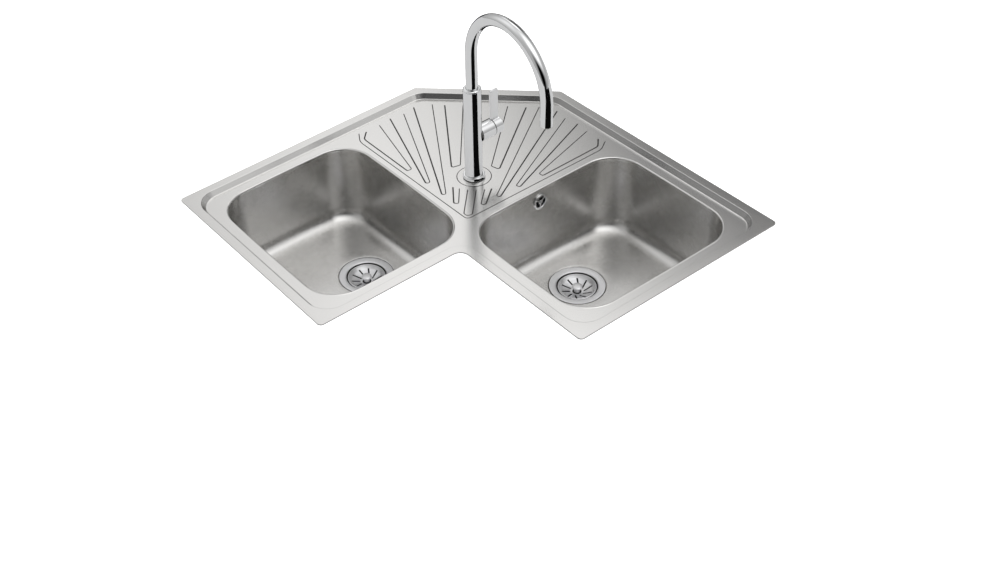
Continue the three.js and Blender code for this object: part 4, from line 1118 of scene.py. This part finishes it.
@dataclass
class Overflow:
    """The overflow's ring and screw on the right bowl's back wall.

    Attributes:
        bowl: The bowl that it belongs to.
        along: Its place along the wall.
        drop: How far its centre lies under the rim.
        hole: Radius of the hole in the wall.
        ring_radius: The ring's outer radius.
        ring_depth: How far it stands out of the wall.
        boss: Radius of the boss that takes the screw.
        screw: The screw's radius.
        spoke: Width of the three spokes.
    """

    bowl: Bowl
    along: float = 254.0
    drop: float = 42.0
    hole: float = 13.5
    ring_radius: float = 17.5
    ring_depth: float = 3.0
    boss: float = 5.0
    screw: float = 2.3
    spoke: float = 2.5

    def place(self) -> Matrix:
        """Where the ring sits, with its axis pointing into the bowl.

        Returns:
            The place in sheet millimetres.
        """
        plan = self.bowl.plan
        z = LEVELS.rim - self.drop
        wall = plan.centre[1] - plan.half[1] - plan.bulge + self.bowl.wall_inset(z)
        return at(self.along, wall, z) @ Matrix.Rotation(-math.pi / 2, 4, "X")

    def pierce(self, shell: bpy.types.Object) -> None:
        """Cuts the overflow's hole into the bowl's wall.

        Args:
            shell: The bowl's shell.
        """
        reach = 8
        drill(shell, self.hole, -reach, reach, self.place(), 48)

    def build(self) -> None:
        """Builds the ring with its spokes and the screw, and dresses them."""
        back = 0.75
        face = back + self.ring_depth
        corners = [
            (self.hole - 1, back, 0),
            (self.ring_radius, back, 0),
            (self.ring_radius, face - 0.6, 0.8),
            (self.ring_radius - 2.4, face, 1.2),
            (self.hole - 0.2, face, 0.4),
            (self.hole - 1, face - 1.5, 0),
        ]
        ring = turned("overflow_ring", corners, self.place(), 72, steps=5)
        hub_profile = [
            (self.screw, back),
            (self.boss, back),
            (self.boss, face - 0.8),
            (self.screw, face - 0.5),
        ]
        pieces = [ring, lathe("overflow_hub", hub_profile, self.place(), 32)]
        for number in range(3):
            turn = Matrix.Rotation(math.pi / 2 + number * 2 * math.pi / 3, 4, "Z")
            name, along = f"overflow_spoke_{number + 1}", (self.boss - 0.5, self.hole)
            pieces.append(bar(name, along, self.spoke, (back, back + 1.5), self.place() @ turn))
        for piece in pieces:
            CHROME.on(piece)
            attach(piece, "sink")
        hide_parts("overflow_rosette")
        LOG.info("overflow_ring, its hub and spokes")


def bar(name: str, along: Point, width: float, height: Point, place: Matrix) -> bpy.types.Object:
    """A straight bar with softly broken edges.

    Args:
        name: The object's name.
        along: Its start and end along x.
        width: Its width along y.
        height: Its underside and top.
        place: Where it lies, in sheet millimetres.

    Returns:
        The object.
    """
    skin = Skin()
    low, high = height
    half = width / 2
    soft = min(width, high - low) * 0.2
    section = fillet([(-half, low), (half, low), (half, high), (-half, high)], [soft] * 4, steps=3)
    ends = [skin.loop((x, p.x, p.y) for p in section) for x in along]
    skin.bridge(ends[0], ends[1])
    skin.close(ends[0], ends[1])
    return skin.solid(name, place)


@dataclass
class Waste:
    """What shows of a strainer waste: flange, basket and knob.

    Attributes:
        plan: The bowl that it belongs to.
        flange_radius: The flange's outer radius.
        flange_rise: Its thickness over the recess.
        throat: Radius of the throat.
        throat_depth: Depth of the throat.
        throat_wall: Its sheet.
        grid_holes: Radius of the holes in the throat's grid.
        grid_pitch: Their distance from the axis.
        basket_radius: The basket's outer radius.
        basket_sheet: Its sheet.
        dish: Depth of the basket's dish.
        slots: Number of slots.
        slot_width: Width of a slot.
        slot_start: Where the slots start.
        slot_end: Where they end.
        slot_twist: How far a slot's end is turned from its start, in degrees.
        knob_radius: The knob's radius.
        stopper_radius: Radius of the stopper under the basket.
        stopper_thickness: Its thickness.
    """

    plan: BowlPlan
    flange_radius: float = 57.5
    flange_rise: float = 2.5
    throat: float = 41.0
    throat_depth: float = 30.0
    throat_wall: float = 1.25
    grid_holes: float = 9.0
    grid_pitch: float = 22.0
    basket_radius: float = 39.6
    basket_sheet: float = 1.0
    dish: float = 16.0
    slots: int = 10
    slot_width: float = 3.4
    slot_start: float = 13.5
    slot_end: float = 32.0
    slot_twist: float = 11.0
    knob_radius: float = 11.0
    stopper_radius: float = 33.0
    stopper_thickness: float = 3.0

    def place(self) -> Matrix:
        """The waste's axis at the bowl's floor."""
        return at(*self.plan.waste, LEVELS.floor)

    def flange(self) -> bpy.types.Object:
        """Draws the flange with its throat and grid.

        Returns:
            The flange.
        """
        wall = self.throat + self.throat_wall
        bottom = -self.throat_depth
        grid = bottom + self.throat_wall
        corners = [
            (self.flange_radius, -self.flange_rise, 0),
            (self.flange_radius, -0.1, 1.1),
            (self.flange_radius - 4, 0.0, 2.0),
            (self.throat + 6, -0.35, 3.0),
            (self.throat, -0.9, 4.0),
            (self.throat, grid, 0),
            (3.3, grid, 0),
            (3.3, bottom, 0),
            (wall, bottom, 0),
            (wall, -self.flange_rise, 0),
        ]
        flange = turned(f"waste_{self.plan.side}_rim", corners, self.place(), 128)
        reach = 2
        for number in range(4):
            turn = Matrix.Rotation((number + 0.5) * math.pi / 2, 4, "Z")
            hole = self.place() @ turn @ at(self.grid_pitch, 0, 0)
            drill(flange, self.grid_holes, bottom - reach, grid + reach, hole, 40)
        return flange

    def dish_line(self) -> list[Vector]:
        """The basket's top surface from its hub to its edge.

        Returns:
            Radius and height of each point.
        """
        edge = self.basket_radius
        bead = [(edge - 3.6, -5.0), (edge - 1.6, -2.4), (edge, -4.0)]
        corners = [(9, -self.dish), (14, -self.dish), (31, -9.6), *bead]
        return fillet(corners, [0, 6, 10, 2.2, 1.2, 0])

    def basket(self) -> bpy.types.Object:
        """Draws the dished strainer with its curved slots.

        Returns:
            The strainer.
        """
        skin = Skin()
        columns = 10
        line = self.dish_line()
        radii = sorted({*(round(p.x, 4) for p in line), self.slot_start, self.slot_end})

        def height(radius: float) -> float:
            """The dish's height at a radius."""
            for a, b in zip(line, line[1:]):
                if a.x <= radius <= b.x + TINY:
                    return a.y + (b.y - a.y) * (radius - a.x) / max(b.x - a.x, TINY)
            return line[-1].y

        loops = []
        for radius in radii:
            share = eased((radius - self.slot_start) / (self.slot_end - self.slot_start))
            twist = math.radians(self.slot_twist) * share
            half_slot = self.slot_width / 2 / radius
            sector = 2 * math.pi / self.slots
            angles = []
            for number in range(self.slots):
                middle = number * sector + twist
                angles.append(middle - half_slot)
                solid = sector - 2 * half_slot
                angles += [middle + half_slot + solid * k / columns for k in range(columns)]
            points = [(radius * math.cos(a), radius * math.sin(a)) for a in angles]
            loops.append((radius, skin.loop(points, height(radius))))
        for (inner, first), (outer, second) in zip(loops, loops[1:]):
            start = len(skin.faces)
            skin.bridge(first, second)
            if inner >= self.slot_start - TINY and outer <= self.slot_end + TINY:
                skin.faces[start:] = [f for i, f in enumerate(skin.faces[start:]) if i % (columns + 1)]
        skin.faces = [tuple(reversed(face)) for face in skin.faces]
        return thickened(skin.build(f"strainer_{self.plan.side}", self.place()), self.basket_sheet)

    def hub(self) -> bpy.types.Object:
        """Draws the hub and plate under the strainer that carry the stopper.

        Returns:
            The hub.
        """
        top = -self.throat_depth + self.throat_wall + self.stopper_thickness
        corners = [
            (4.1, -self.dish + 0.2, 0),
            (9.2, -self.dish + 0.2, 0.3),
            (9.2, -self.dish - 1, 0),
            (8.5, -self.dish - 1, 0),
            (8.5, top + 1, 1.5),
            (self.stopper_radius - 3, top + 1, 0.4),
            (self.stopper_radius - 3, top, 0),
            (6.5, top, 0),
            (6.5, -self.dish - 2, 0),
            (4.1, -self.dish - 2, 0),
        ]
        return turned(f"strainer_hub_{self.plan.side}", corners, self.place(), steps=4)

    def knob(self) -> bpy.types.Object:
        """Draws the knob.

        Returns:
            The knob.
        """
        radius = self.knob_radius
        corners = [
            (0, -self.dish - 5, 0),
            (3.75, -self.dish - 5, 0),
            (3.75, -self.dish + 0.3, 0),
            (6.2, -self.dish + 0.3, 0.4),
            (5.2, -8, 2.5),
            (radius - 1.5, -6.4, 0.8),
            (radius, -4.6, 1.2),
            (radius - 0.4, -2.8, 1.2),
            (radius - 3.5, -1.2, 6),
            (0, -0.5, 0),
        ]
        return turned(f"strainer_knob_{self.plan.side}", corners, self.place(), steps=5)

    def stopper(self) -> bpy.types.Object:
        """Draws the rubber stopper.

        Returns:
            The stopper.
        """
        low = -self.throat_depth + self.throat_wall
        high = low + self.stopper_thickness
        radius = self.stopper_radius
        corners = [
            (8, low, 0),
            (radius - 1, low, 0.6),
            (radius, (low + high) / 2, 0.8),
            (radius - 1, high, 0.6),
            (8, high, 0),
        ]
        return turned(f"stopper_{self.plan.side}", corners, self.place(), 96, steps=4)

    def build(self) -> None:
        """Builds the visible pieces and dresses them."""
        side = self.plan.side
        flange, basket, hub = self.flange(), self.basket(), self.hub()
        knob, stopper = self.knob(), self.stopper()
        POLISHED.on(flange, basket, knob)
        # painted shade: the hub under the strainer is near-black steel
        PAINTED_SHADE_STEEL.on(hub)
        RUBBER.on(stopper)
        throat, edge = self.throat + 1.2, self.flange_radius - 0.7
        # painted shade: near-black steel in the throat and along the flange's outer edge
        PAINTED_SHADE_LINES.on_faces(flange, lambda centre, _: not throat < centre.xy.length < edge, self.place())
        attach(flange, "sink")
        for piece in (basket, hub, knob, stopper):
            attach(piece, f"basket_{side}")
        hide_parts(f"waste_flange_{side}")
        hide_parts(f"basket_{side}")
        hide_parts(f"basket_knob_{side}")
        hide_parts(f"basket_stopper_{side}")
        LOG.info("waste %s: rim, strainer, hub, knob, stopper", side)


# ---- the tap ------------------------------------------------------------------------------------------


@dataclass
class Tap:
    """The tap: cover ring, body with its sleeve, collar, spout, aerator and lever.

    Heights are counted from the deck, and lengths along the sleeve from the tap's axis.

    Attributes:
        place_along: The tap's place along both walls.
        disc_rise: Height of the disc under it.
        cover_radius: The cover ring's radius.
        cover_height: Its straight height.
        body_radius: The body's radius.
        body_height: Its height.
        body_wall: Its wall.
        collar_height: Height of the collar over the body.
        spout_radius: The spout's radius at its foot.
        outlet_radius: Its radius at the outlet.
        spout_wall: The spout's wall.
        spout_seat: Where the spout's shoulder sits in the body.
        play: Gap between pieces that fit into each other.
        arc_radius: Radius of the spout's arc.
        arc_height: Height of the arc's centre.
        outlet_height: Height of the outlet.
        yaw: Where the spout points, in degrees from x.
        sleeve_radius: The sleeve's radius.
        sleeve_height: Height of its axis.
        sleeve_length: Where it ends.
        pivot_depth: How far the lever's pin lies inside the sleeve's end.
        cap_clearance: Gap between the sleeve's round end and the cap.
        cap_length: Where the cap ends.
        blade_width: Width of the lever's blade over the cap.
        blade_overhang: How far it reaches past the cap towards the body.
        blade_thickness: Its thickness.
        blade_top: Its top over the sleeve's axis.
    """

    place_along: float = 325.0
    disc_rise: float = 0.75
    cover_radius: float = 22.5
    cover_height: float = 7.0
    body_radius: float = 18.0
    body_height: float = 210.0
    body_wall: float = 3.5
    collar_height: float = 4.0
    spout_radius: float = 12.0
    outlet_radius: float = 11.8
    spout_wall: float = 1.5
    spout_seat: float = 160.0
    play: float = 0.3
    arc_radius: float = 114.0
    arc_height: float = 291.5
    outlet_height: float = 248.5
    yaw: float = 87.0
    sleeve_radius: float = 17.8
    sleeve_height: float = 99.5
    sleeve_length: float = 45.75
    pivot_depth: float = 10.0
    cap_clearance: float = 0.9
    cap_length: float = 66.5
    blade_width: float = 16.0
    blade_overhang: float = 3.2
    blade_thickness: float = 5.0
    blade_top: float = 86.0

    def foot(self) -> Matrix:
        """The tap's axis at the deck."""
        return at(self.place_along, self.place_along, LEVELS.deck)

    def sleeve(self) -> Matrix:
        """The sleeve's axis, from the tap's axis outwards."""
        return self.foot() @ at(0, 0, self.sleeve_height) @ Matrix.Rotation(-math.pi / 2, 4, "Y")

    def ball(self, radius: float, clearance: float = 0.0) -> float:
        """Where the round end of the sleeve lies at a radius.

        Args:
            radius: The distance from the sleeve's axis.
            clearance: How far outside the round end.

        Returns:
            The length along the sleeve.
        """
        size = math.hypot(self.sleeve_radius, self.pivot_depth) + clearance
        return self.sleeve_length - self.pivot_depth + math.sqrt(size * size - radius * radius)

    def foot_pieces(self) -> list[bpy.types.Object]:
        """Draws the cover ring.

        Returns:
            The pieces.
        """
        low = self.disc_rise + 1
        top = self.cover_height + 1.5
        seat, seat_height = 20.9, 5.1
        corners = [
            (seat, low, 0),
            (self.cover_radius, low, 0.5),
            (self.cover_radius, self.cover_height - 0.4, 1.6),
            (self.cover_radius - 1.2, top, 1.2),
            (self.body_radius + self.play, top, 0.3),
            (self.body_radius + self.play, seat_height, 0),
            (seat, seat_height, 0),
        ]
        ring = turned("tap_foot_ring", corners, self.foot(), 128)
        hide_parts("tap_cover_ring")
        return [ring]

    def body(self) -> list[bpy.types.Object]:
        """Draws the body and its sleeve.

        Returns:
            The pieces.
        """
        low = self.disc_rise + 1
        bore = self.body_radius - self.body_wall
        foot, foot_top, bottom = 20.4, low + 3, 14
        corners = [
            (0, low, 0),
            (foot, low, 0),
            (foot, foot_top, 0),
            (self.body_radius, foot_top, 0),
            (self.body_radius, self.body_height, 0.5),
            (bore, self.body_height, 0.3),
            (bore, self.spout_seat, 0),
            (bore - 1.5, self.spout_seat, 0),
            (bore - 1.5, bottom, 0),
            (0, bottom, 0),
        ]
        column = turned("tap_column", corners, self.foot(), 128, steps=4)
        middle = self.sleeve_radius - 1.5
        inner = self.sleeve_radius - 3
        arm = [
            (self.sleeve_radius, 14),
            (self.sleeve_radius, self.sleeve_length - 0.5),
            (self.sleeve_radius - 0.3, self.ball(self.sleeve_radius - 0.3) - 0.1),
            (middle, self.ball(middle)),
            (inner, self.ball(inner)),
            (inner, 15.5),
        ]
        sleeve = lathe("tap_sleeve", arm, self.sleeve(), 96)
        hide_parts("tap_body")
        return [column, sleeve]

    def collar(self) -> list[bpy.types.Object]:
        """Draws the collar that holds the spout.

        Returns:
            The pieces.
        """
        top = self.body_height + self.collar_height
        inside = self.spout_radius + self.play
        plug = self.body_radius - self.body_wall - self.play
        corners = [
            (inside, self.body_height - 10, 0),
            (plug, self.body_height - 10, 0),
            (plug, self.body_height + 0.35, 0),
            (self.body_radius, self.body_height + 0.35, 0.3),
            (self.body_radius, top - 1.8, 1.2),
            (self.body_radius - 1.8, top, 1.2),
            (inside, top, 0.4),
        ]
        ring = turned("spout_ring", corners, self.foot(), 128, steps=5)
        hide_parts("spout_collar")
        return [ring]

    def spout(self) -> list[bpy.types.Object]:
        """Draws the swan neck and the aerator's shell.

        Returns:
            The pieces.
        """
        steps = 60
        place = self.foot() @ Matrix.Rotation(math.radians(self.yaw), 4, "Z")
        shoulder = self.body_radius - self.body_wall - self.play
        seat = self.spout_seat + self.play
        up = Vector((0, 0, 1))
        path = [
            (Vector((0, 0, seat)), up, shoulder),
            (Vector((0, 0, seat + 4)), up, shoulder),
            (Vector((0, 0, seat + 4.5)), up, self.spout_radius),
            (Vector((0, 0, self.arc_height - 40)), up, self.spout_radius),
        ]
        length = math.pi * self.arc_radius + self.arc_height - self.outlet_height
        for k in range(steps + 1):
            angle = k / steps * math.pi
            share = self.arc_radius * angle / length
            radius = self.spout_radius + (self.outlet_radius - self.spout_radius) * share
            out, rise = 1 - math.cos(angle), math.sin(angle)
            centre = Vector((self.arc_radius * out, 0, self.arc_height + self.arc_radius * rise))
            path.append((centre, Vector((rise, 0, math.cos(angle))), radius))
        reach = 2 * self.arc_radius
        path += [
            (Vector((reach, 0, self.outlet_height + 0.5)), -up, self.outlet_radius),
            (Vector((reach, 0, self.outlet_height)), -up, self.outlet_radius - 0.35),
        ]
        neck = tube("swan_neck", path, self.spout_wall, place)
        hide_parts("spout")
        shell_radius = self.outlet_radius - self.spout_wall - self.play
        bore = shell_radius - 1.5
        low = self.outlet_height - 0.5
        high = low + 12
        corners = [(bore, low, 0.3), (shell_radius, low, 0.4), (shell_radius, high, 0), (bore, high, 0)]
        shell = turned("outlet_shell", corners, place @ at(reach, 0, 0), steps=3)
        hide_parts("aerator_shell")
        return [neck, shell]

    def lever(self) -> list[bpy.types.Object]:
        """Draws the lever's cap and blade.

        Returns:
            The pieces.
        """
        start = self.ball(self.sleeve_radius, self.cap_clearance)
        stem, stem_end = 4.3, self.sleeve_length + 16.5
        hollow = [(r, self.ball(r, self.cap_clearance)) for r in (stem, 7, 9, 11, 13, 15)]
        radius, end = self.sleeve_radius, self.cap_length
        outside = fillet([(0, end), (radius, end), (radius, start)], [0, 1.6, 0])
        profile = [*outside, *reversed(hollow), (stem, stem_end), (0, stem_end)]
        cap = lathe("lever_end", profile, self.sleeve(), 96)
        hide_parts("lever_cap")
        blade = self.blade(start)
        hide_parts("lever_blade")
        return [cap, blade]

    def blade(self, start: float) -> bpy.types.Object:
        """Draws the flat blade, with its outer top corner cut round.

        Args:
            start: Where the cap starts along the sleeve.

        Returns:
            The blade.
        """
        end = start + self.blade_width
        outline = fillet(
            [
                (self.sleeve_radius - 5, end - 9),
                (self.sleeve_radius - 5, end - 0.4),
                (self.blade_top, end - 0.4),
                (self.blade_top, start - self.blade_overhang),
                (self.sleeve_radius + 2.5, start - self.blade_overhang),
                (self.sleeve_radius + 0.3, start),
                (self.sleeve_radius + 0.3, end - 9),
            ],
            [0, 0, 1.2, 5.0, 1.0, 0.5, 0],
            steps=7,
        )
        skin = Skin()
        half = self.blade_thickness / 2
        soft = 0.6
        centre = sum(outline, Vector((0, 0))) / len(outline)
        slight = soft * 0.3
        left = [(soft, -half), (slight, -half + slight), (0, -half + soft)]
        loops = []
        for inset, y in [*left, *((inset, -y) for inset, y in reversed(left))]:
            shrunk = [p + (centre - p).normalized() * inset for p in outline]
            loops.append(skin.loop((p.x, y, p.y) for p in shrunk))
        skin.band(loops)
        skin.close(loops[0], loops[-1])
        return skin.solid("lever_grip", self.sleeve())

    def build(self) -> None:
        """Builds the tap's visible pieces and dresses them."""
        riders = {
            "sink": [*self.foot_pieces(), *self.body(), *self.collar()],
            "spout": self.spout(),
            "lever": self.lever(),
        }
        for body, pieces in riders.items():
            for piece in pieces:
                finish = SATIN_CHROME if piece.name == "lever_grip" else CHROME
                finish.on(piece)
                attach(piece, body)
                LOG.info("%s on %s", piece.name, body)


# ---- what lies under the deck -------------------------------------------------------------------------


@dataclass(frozen=True)
class PlainPieces:
    """Pieces of the frame that keep their shape and only get a finish.

    Attributes:
        finish: The finish.
        names: The pieces' names, without the side or number.
        endings: What is added to each name.
    """

    finish: Finish
    names: tuple[str, ...]
    endings: tuple[str, ...] = ("",)

    def dress(self) -> None:
        """Dresses the pieces."""
        for name in self.names:
            for ending in self.endings:
                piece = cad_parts[name + ending]
                self.finish.on(piece)
                LOG.info("%s in %s", piece.name, self.finish.name)


SIDES = ("_right", "_left")
NUMBERS = tuple(f"_{number}" for number in range(1, 7))
PLAIN = (
    PlainPieces(FOAM, ("rim_seal",)),
    PlainPieces(RUBBER, ("flange_seal", "body_gasket"), SIDES),
    PlainPieces(RUBBER, ("overflow_gasket", "tap_gasket", "spout_seal")),
    PlainPieces(MOULDED, ("waste_body", "outlet_nut"), SIDES),
    PlainPieces(MOULDED, ("overflow_elbow", "overflow_pipe")),
    PlainPieces(WHITE_PLASTIC, ("cartridge_body", "cartridge_carrier", "aerator_insert")),
    PlainPieces(BRASS, ("lever_stem", "cartridge_nut", "clamp_nut", "inlet_tail_cold", "inlet_tail_hot")),
    PlainPieces(ZINC, ("waste_screw",), SIDES),
    PlainPieces(ZINC, ("overflow_screw", "lever_pin", "lever_set_screw", "clamp_washer", "clamp_stud")),
    PlainPieces(ZINC, ("clip_arm", "clip_screw"), NUMBERS),
)


# ---- camera and studio --------------------------------------------------------------------------------


@dataclass
class PhotoCamera:
    """The camera at the photograph's viewing angle.

    Attributes:
        place: Where it stands, in metres.
        turn: Its turn about x, y and z, in degrees.
        focal_length: In pixels of the photograph.
        centre: Where its axis meets the photograph, in pixels.
        size: The photograph's size in pixels.
    """

    place: tuple[float, float, float] = (1.701, 2.073, 1.779)
    turn: tuple[float, float, float] = (49.598, 4.554, 144.443)
    focal_length: float = 1459.9
    centre: Point = (340.3, 273.4)
    size: tuple[int, int] = (999, 562)

    def build(self) -> None:
        """Makes the camera."""
        data = bpy.data.cameras.new("photo_camera")
        width, height = self.size
        data.sensor_width = 36.0
        data.lens = self.focal_length / width * data.sensor_width
        data.shift_x = (width / 2 - self.centre[0]) / width
        data.shift_y = (self.centre[1] - height / 2) / width
        camera = bpy.data.objects.new("photo_camera", data)
        camera.location = self.place
        camera.rotation_euler = Euler([math.radians(angle) for angle in self.turn], "XYZ")
        bpy.context.scene.collection.objects.link(camera)
        bpy.context.scene.camera = camera


@dataclass(frozen=True)
class SkyPatch:
    """A soft round patch of the studio's sky that is brighter or darker than the rest.

    Attributes:
        name: What it stands for.
        azimuth: Its direction in degrees, from +X towards +Y.
        elevation: Its height above the horizon in degrees.
        spread: The angle in degrees at which it has faded out.
        strength: What it adds to the sky at its middle.
    """

    name: str
    azimuth: float
    elevation: float
    spread: float
    strength: float

    def direction(self) -> tuple[float, float, float]:
        """Returns the unit vector towards its middle."""
        azimuth, elevation = math.radians(self.azimuth), math.radians(self.elevation)
        flat = math.cos(elevation)
        return (flat * math.cos(azimuth), flat * math.sin(azimuth), math.sin(elevation))


SKY_PATCHES = (
    SkyPatch("window_wall", 294.5, 45.0, 47.0, 0.43),
    SkyPatch("front_ceiling", 101.0, 64.5, 51.5, 1.24),
    SkyPatch("dark_corner", 215.0, 30.5, 18.0, -0.85),
    SkyPatch("dim_back_wall", 204.0, 30.5, 30.5, -0.3),
    SkyPatch("dim_right_side", 61.5, 23.0, 54.0, -0.69),
    SkyPatch("lamp_over_corner", 222.5, 52.0, 20.0, 1.15),
    SkyPatch("tall_window", 236.0, 35.0, 15.0, 0.58),
)


@dataclass(frozen=True)
class Card:
    """A card round the tap's foot, as photographers lay them beside polished metal.

    Attributes:
        name: Its name.
        start: The direction where it starts, in degrees from x.
        end: The direction where it ends.
        shade: How pale it is.
    """

    name: str
    start: float
    end: float
    shade: float


CARDS = (
    Card("black_card_front", 50.0, 116.0, 0.004),
    Card("white_card_right", 116.0, 206.0, 0.9),
    Card("black_card_back", 206.0, 262.0, 0.02),
    Card("white_card_left", 262.0, 410.0, 0.9),
)


@dataclass
class Studio:
    """A pale floor at the height where the rim rests, cards round the tap and a graded sky.

    Attributes:
        deck: The deck that floor and cards fit round.
        floor_size: Half the floor's side, in millimetres.
        floor_level: The floor's height.
        cut_inset: How far inside the rim's edge the floor's opening lies.
        horizon: How bright the sky is at the horizon, before its patches.
        zenith: The same, straight up.
        card_reach: Where the cards start and end, from the tap's axis.
        card_height: Their height over the deck beside the tap.
        card_rise: How much higher they end.
    """

    deck: Deck
    floor_size: float = 9000.0
    floor_level: float = -0.3
    cut_inset: float = 17.0
    horizon: float = 0.44
    zenith: float = 0.52
    card_reach: tuple[float, float] = (23.5, 6000.0)
    card_height: float = 1.2
    card_rise: float = 280.0

    def floor(self) -> None:
        """Lays the floor with its opening for the sink."""
        opening = self.deck.rim_loop(self.cut_inset, 6.0)
        size = self.floor_size
        outer = [Vector(p) for p in ((-size, -size), (size, -size), (size, size), (-size, size))]
        points, faces, _ = filled([outer, opening], [opening])
        skin = Skin()
        skin.loop(points, self.floor_level)
        skin.faces += faces
        plane = skin.build("pale_floor")
        material, tree, shader = blank_material("pale_floor")
        shader.inputs["Base Color"].default_value = (0.86, 0.86, 0.86, 1)
        shader.inputs["Roughness"].default_value = 0.9
        glow = tree.nodes.new("ShaderNodeEmission")
        path = tree.nodes.new("ShaderNodeLightPath")
        tree.links.new(path.outputs["Is Camera Ray"], glow.inputs["Strength"])
        both = tree.nodes.new("ShaderNodeAddShader")
        tree.links.new(shader.outputs["BSDF"], both.inputs[0])
        tree.links.new(glow.outputs["Emission"], both.inputs[1])
        tree.links.new(both.outputs["Shader"], tree.nodes["Material Output"].inputs["Surface"])
        glow.inputs["Color"].default_value = (1, 1, 1, 1)
        plane.data.materials.append(material)

    def card(self, card: Card) -> None:
        """Lays a card that only polished pieces mirror, from above; it is clear from below.

        Args:
            card: The card.
        """
        near, far = self.card_reach
        count = 12
        skin = Skin()
        foot = Vector((self.deck.tap_place, self.deck.tap_place, LEVELS.deck + self.card_height))
        for step in range(count + 1):
            turn = math.radians(card.start + (card.end - card.start) * step / count)
            along = Vector((math.cos(turn), math.sin(turn), 0))
            skin.loop([foot + along * near, foot + along * far + Vector((0, 0, self.card_rise))])
        skin.faces += [(2 * i, 2 * i + 1, 2 * i + 3, 2 * i + 2) for i in range(count)]
        plane = skin.build(card.name)
        material, tree, shader = blank_material(card.name)
        shader.inputs["Base Color"].default_value = (card.shade, card.shade, card.shade, 1)
        shader.inputs["Roughness"].default_value = 1.0
        shader.inputs["Specular IOR Level"].default_value = 0.0
        clear = tree.nodes.new("ShaderNodeBsdfTransparent")
        side = tree.nodes.new("ShaderNodeNewGeometry")
        mix = tree.nodes.new("ShaderNodeMixShader")
        tree.links.new(side.outputs["Backfacing"], mix.inputs["Fac"])
        tree.links.new(shader.outputs["BSDF"], mix.inputs[1])
        tree.links.new(clear.outputs["BSDF"], mix.inputs[2])
        tree.links.new(mix.outputs["Shader"], tree.nodes["Material Output"].inputs["Surface"])
        plane.data.materials.append(material)
        plane.visible_camera = plane.visible_diffuse = plane.visible_shadow = False

    def sky(self) -> None:
        """Makes the sky: white for the camera, softly graded by the patches for everything else."""
        world = bpy.data.worlds.new("studio_sky")
        bpy.context.scene.world = world
        world.use_nodes = True
        tree = world.node_tree
        node, link = tree.nodes.new, tree.links.new
        direction = node("ShaderNodeTexCoord").outputs["Generated"]
        height = node("ShaderNodeSeparateXYZ")
        link(direction, height.inputs["Vector"])
        level = node("ShaderNodeMapRange")
        link(height.outputs["Z"], level.inputs["Value"])
        level.inputs["To Min"].default_value = self.horizon
        level.inputs["To Max"].default_value = self.zenith
        total = level.outputs["Result"]
        for patch in SKY_PATCHES:
            towards = node("ShaderNodeVectorMath")
            towards.operation = "DOT_PRODUCT"
            towards.label = patch.name
            link(direction, towards.inputs[0])
            towards.inputs[1].default_value = patch.direction()
            angle = node("ShaderNodeMath")
            angle.operation = "ARCCOSINE"
            link(towards.outputs["Value"], angle.inputs[0])
            fade = node("ShaderNodeMapRange")
            fade.interpolation_type = "SMOOTHSTEP"
            link(angle.outputs["Value"], fade.inputs["Value"])
            fade.inputs["From Max"].default_value = math.radians(patch.spread)
            fade.inputs["To Min"].default_value = patch.strength
            fade.inputs["To Max"].default_value = 0.0
            both = node("ShaderNodeMath")
            link(total, both.inputs[0])
            link(fade.outputs["Result"], both.inputs[1])
            total = both.outputs["Value"]
        lit = node("ShaderNodeMath")
        lit.operation = "MAXIMUM"
        lit.inputs[1].default_value = 0.0
        link(total, lit.inputs[0])
        background = tree.nodes["Background"]
        background.inputs["Color"].default_value = (1, 1, 1, 1)
        link(lit.outputs["Value"], background.inputs["Strength"])
        white = node("ShaderNodeBackground")
        white.inputs["Color"].default_value = (1, 1, 1, 1)
        path = node("ShaderNodeLightPath")
        mix = node("ShaderNodeMixShader")
        link(path.outputs["Is Camera Ray"], mix.inputs["Fac"])
        link(background.outputs["Background"], mix.inputs[1])
        link(white.outputs["Background"], mix.inputs[2])
        link(mix.outputs["Shader"], tree.nodes["World Output"].inputs["Surface"])

    def build(self) -> None:
        """Lays the floor and the cards, makes the sky and sets the view."""
        self.floor()
        for card in CARDS:
            self.card(card)
        self.sky()
        bpy.context.scene.view_settings.view_transform = "Standard"


def main() -> None:
    """Builds the studio and the sink's pieces."""
    logging.basicConfig(level=logging.INFO, format="%(message)s")
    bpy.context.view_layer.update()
    PhotoCamera().build()
    deck = Deck()
    deck.build()
    ClipTabs().build()
    for plan in (RIGHT, LEFT):
        bowl = Bowl(plan)
        shell = bowl.build()
        if plan is RIGHT:
            overflow = Overflow(bowl)
            overflow.pierce(shell)
            overflow.build()
        Waste(plan).build()
    Tap().build()
    for pieces in PLAIN:
        pieces.dress()
    Studio(deck).build()


if __name__ == "__main__":
    main()
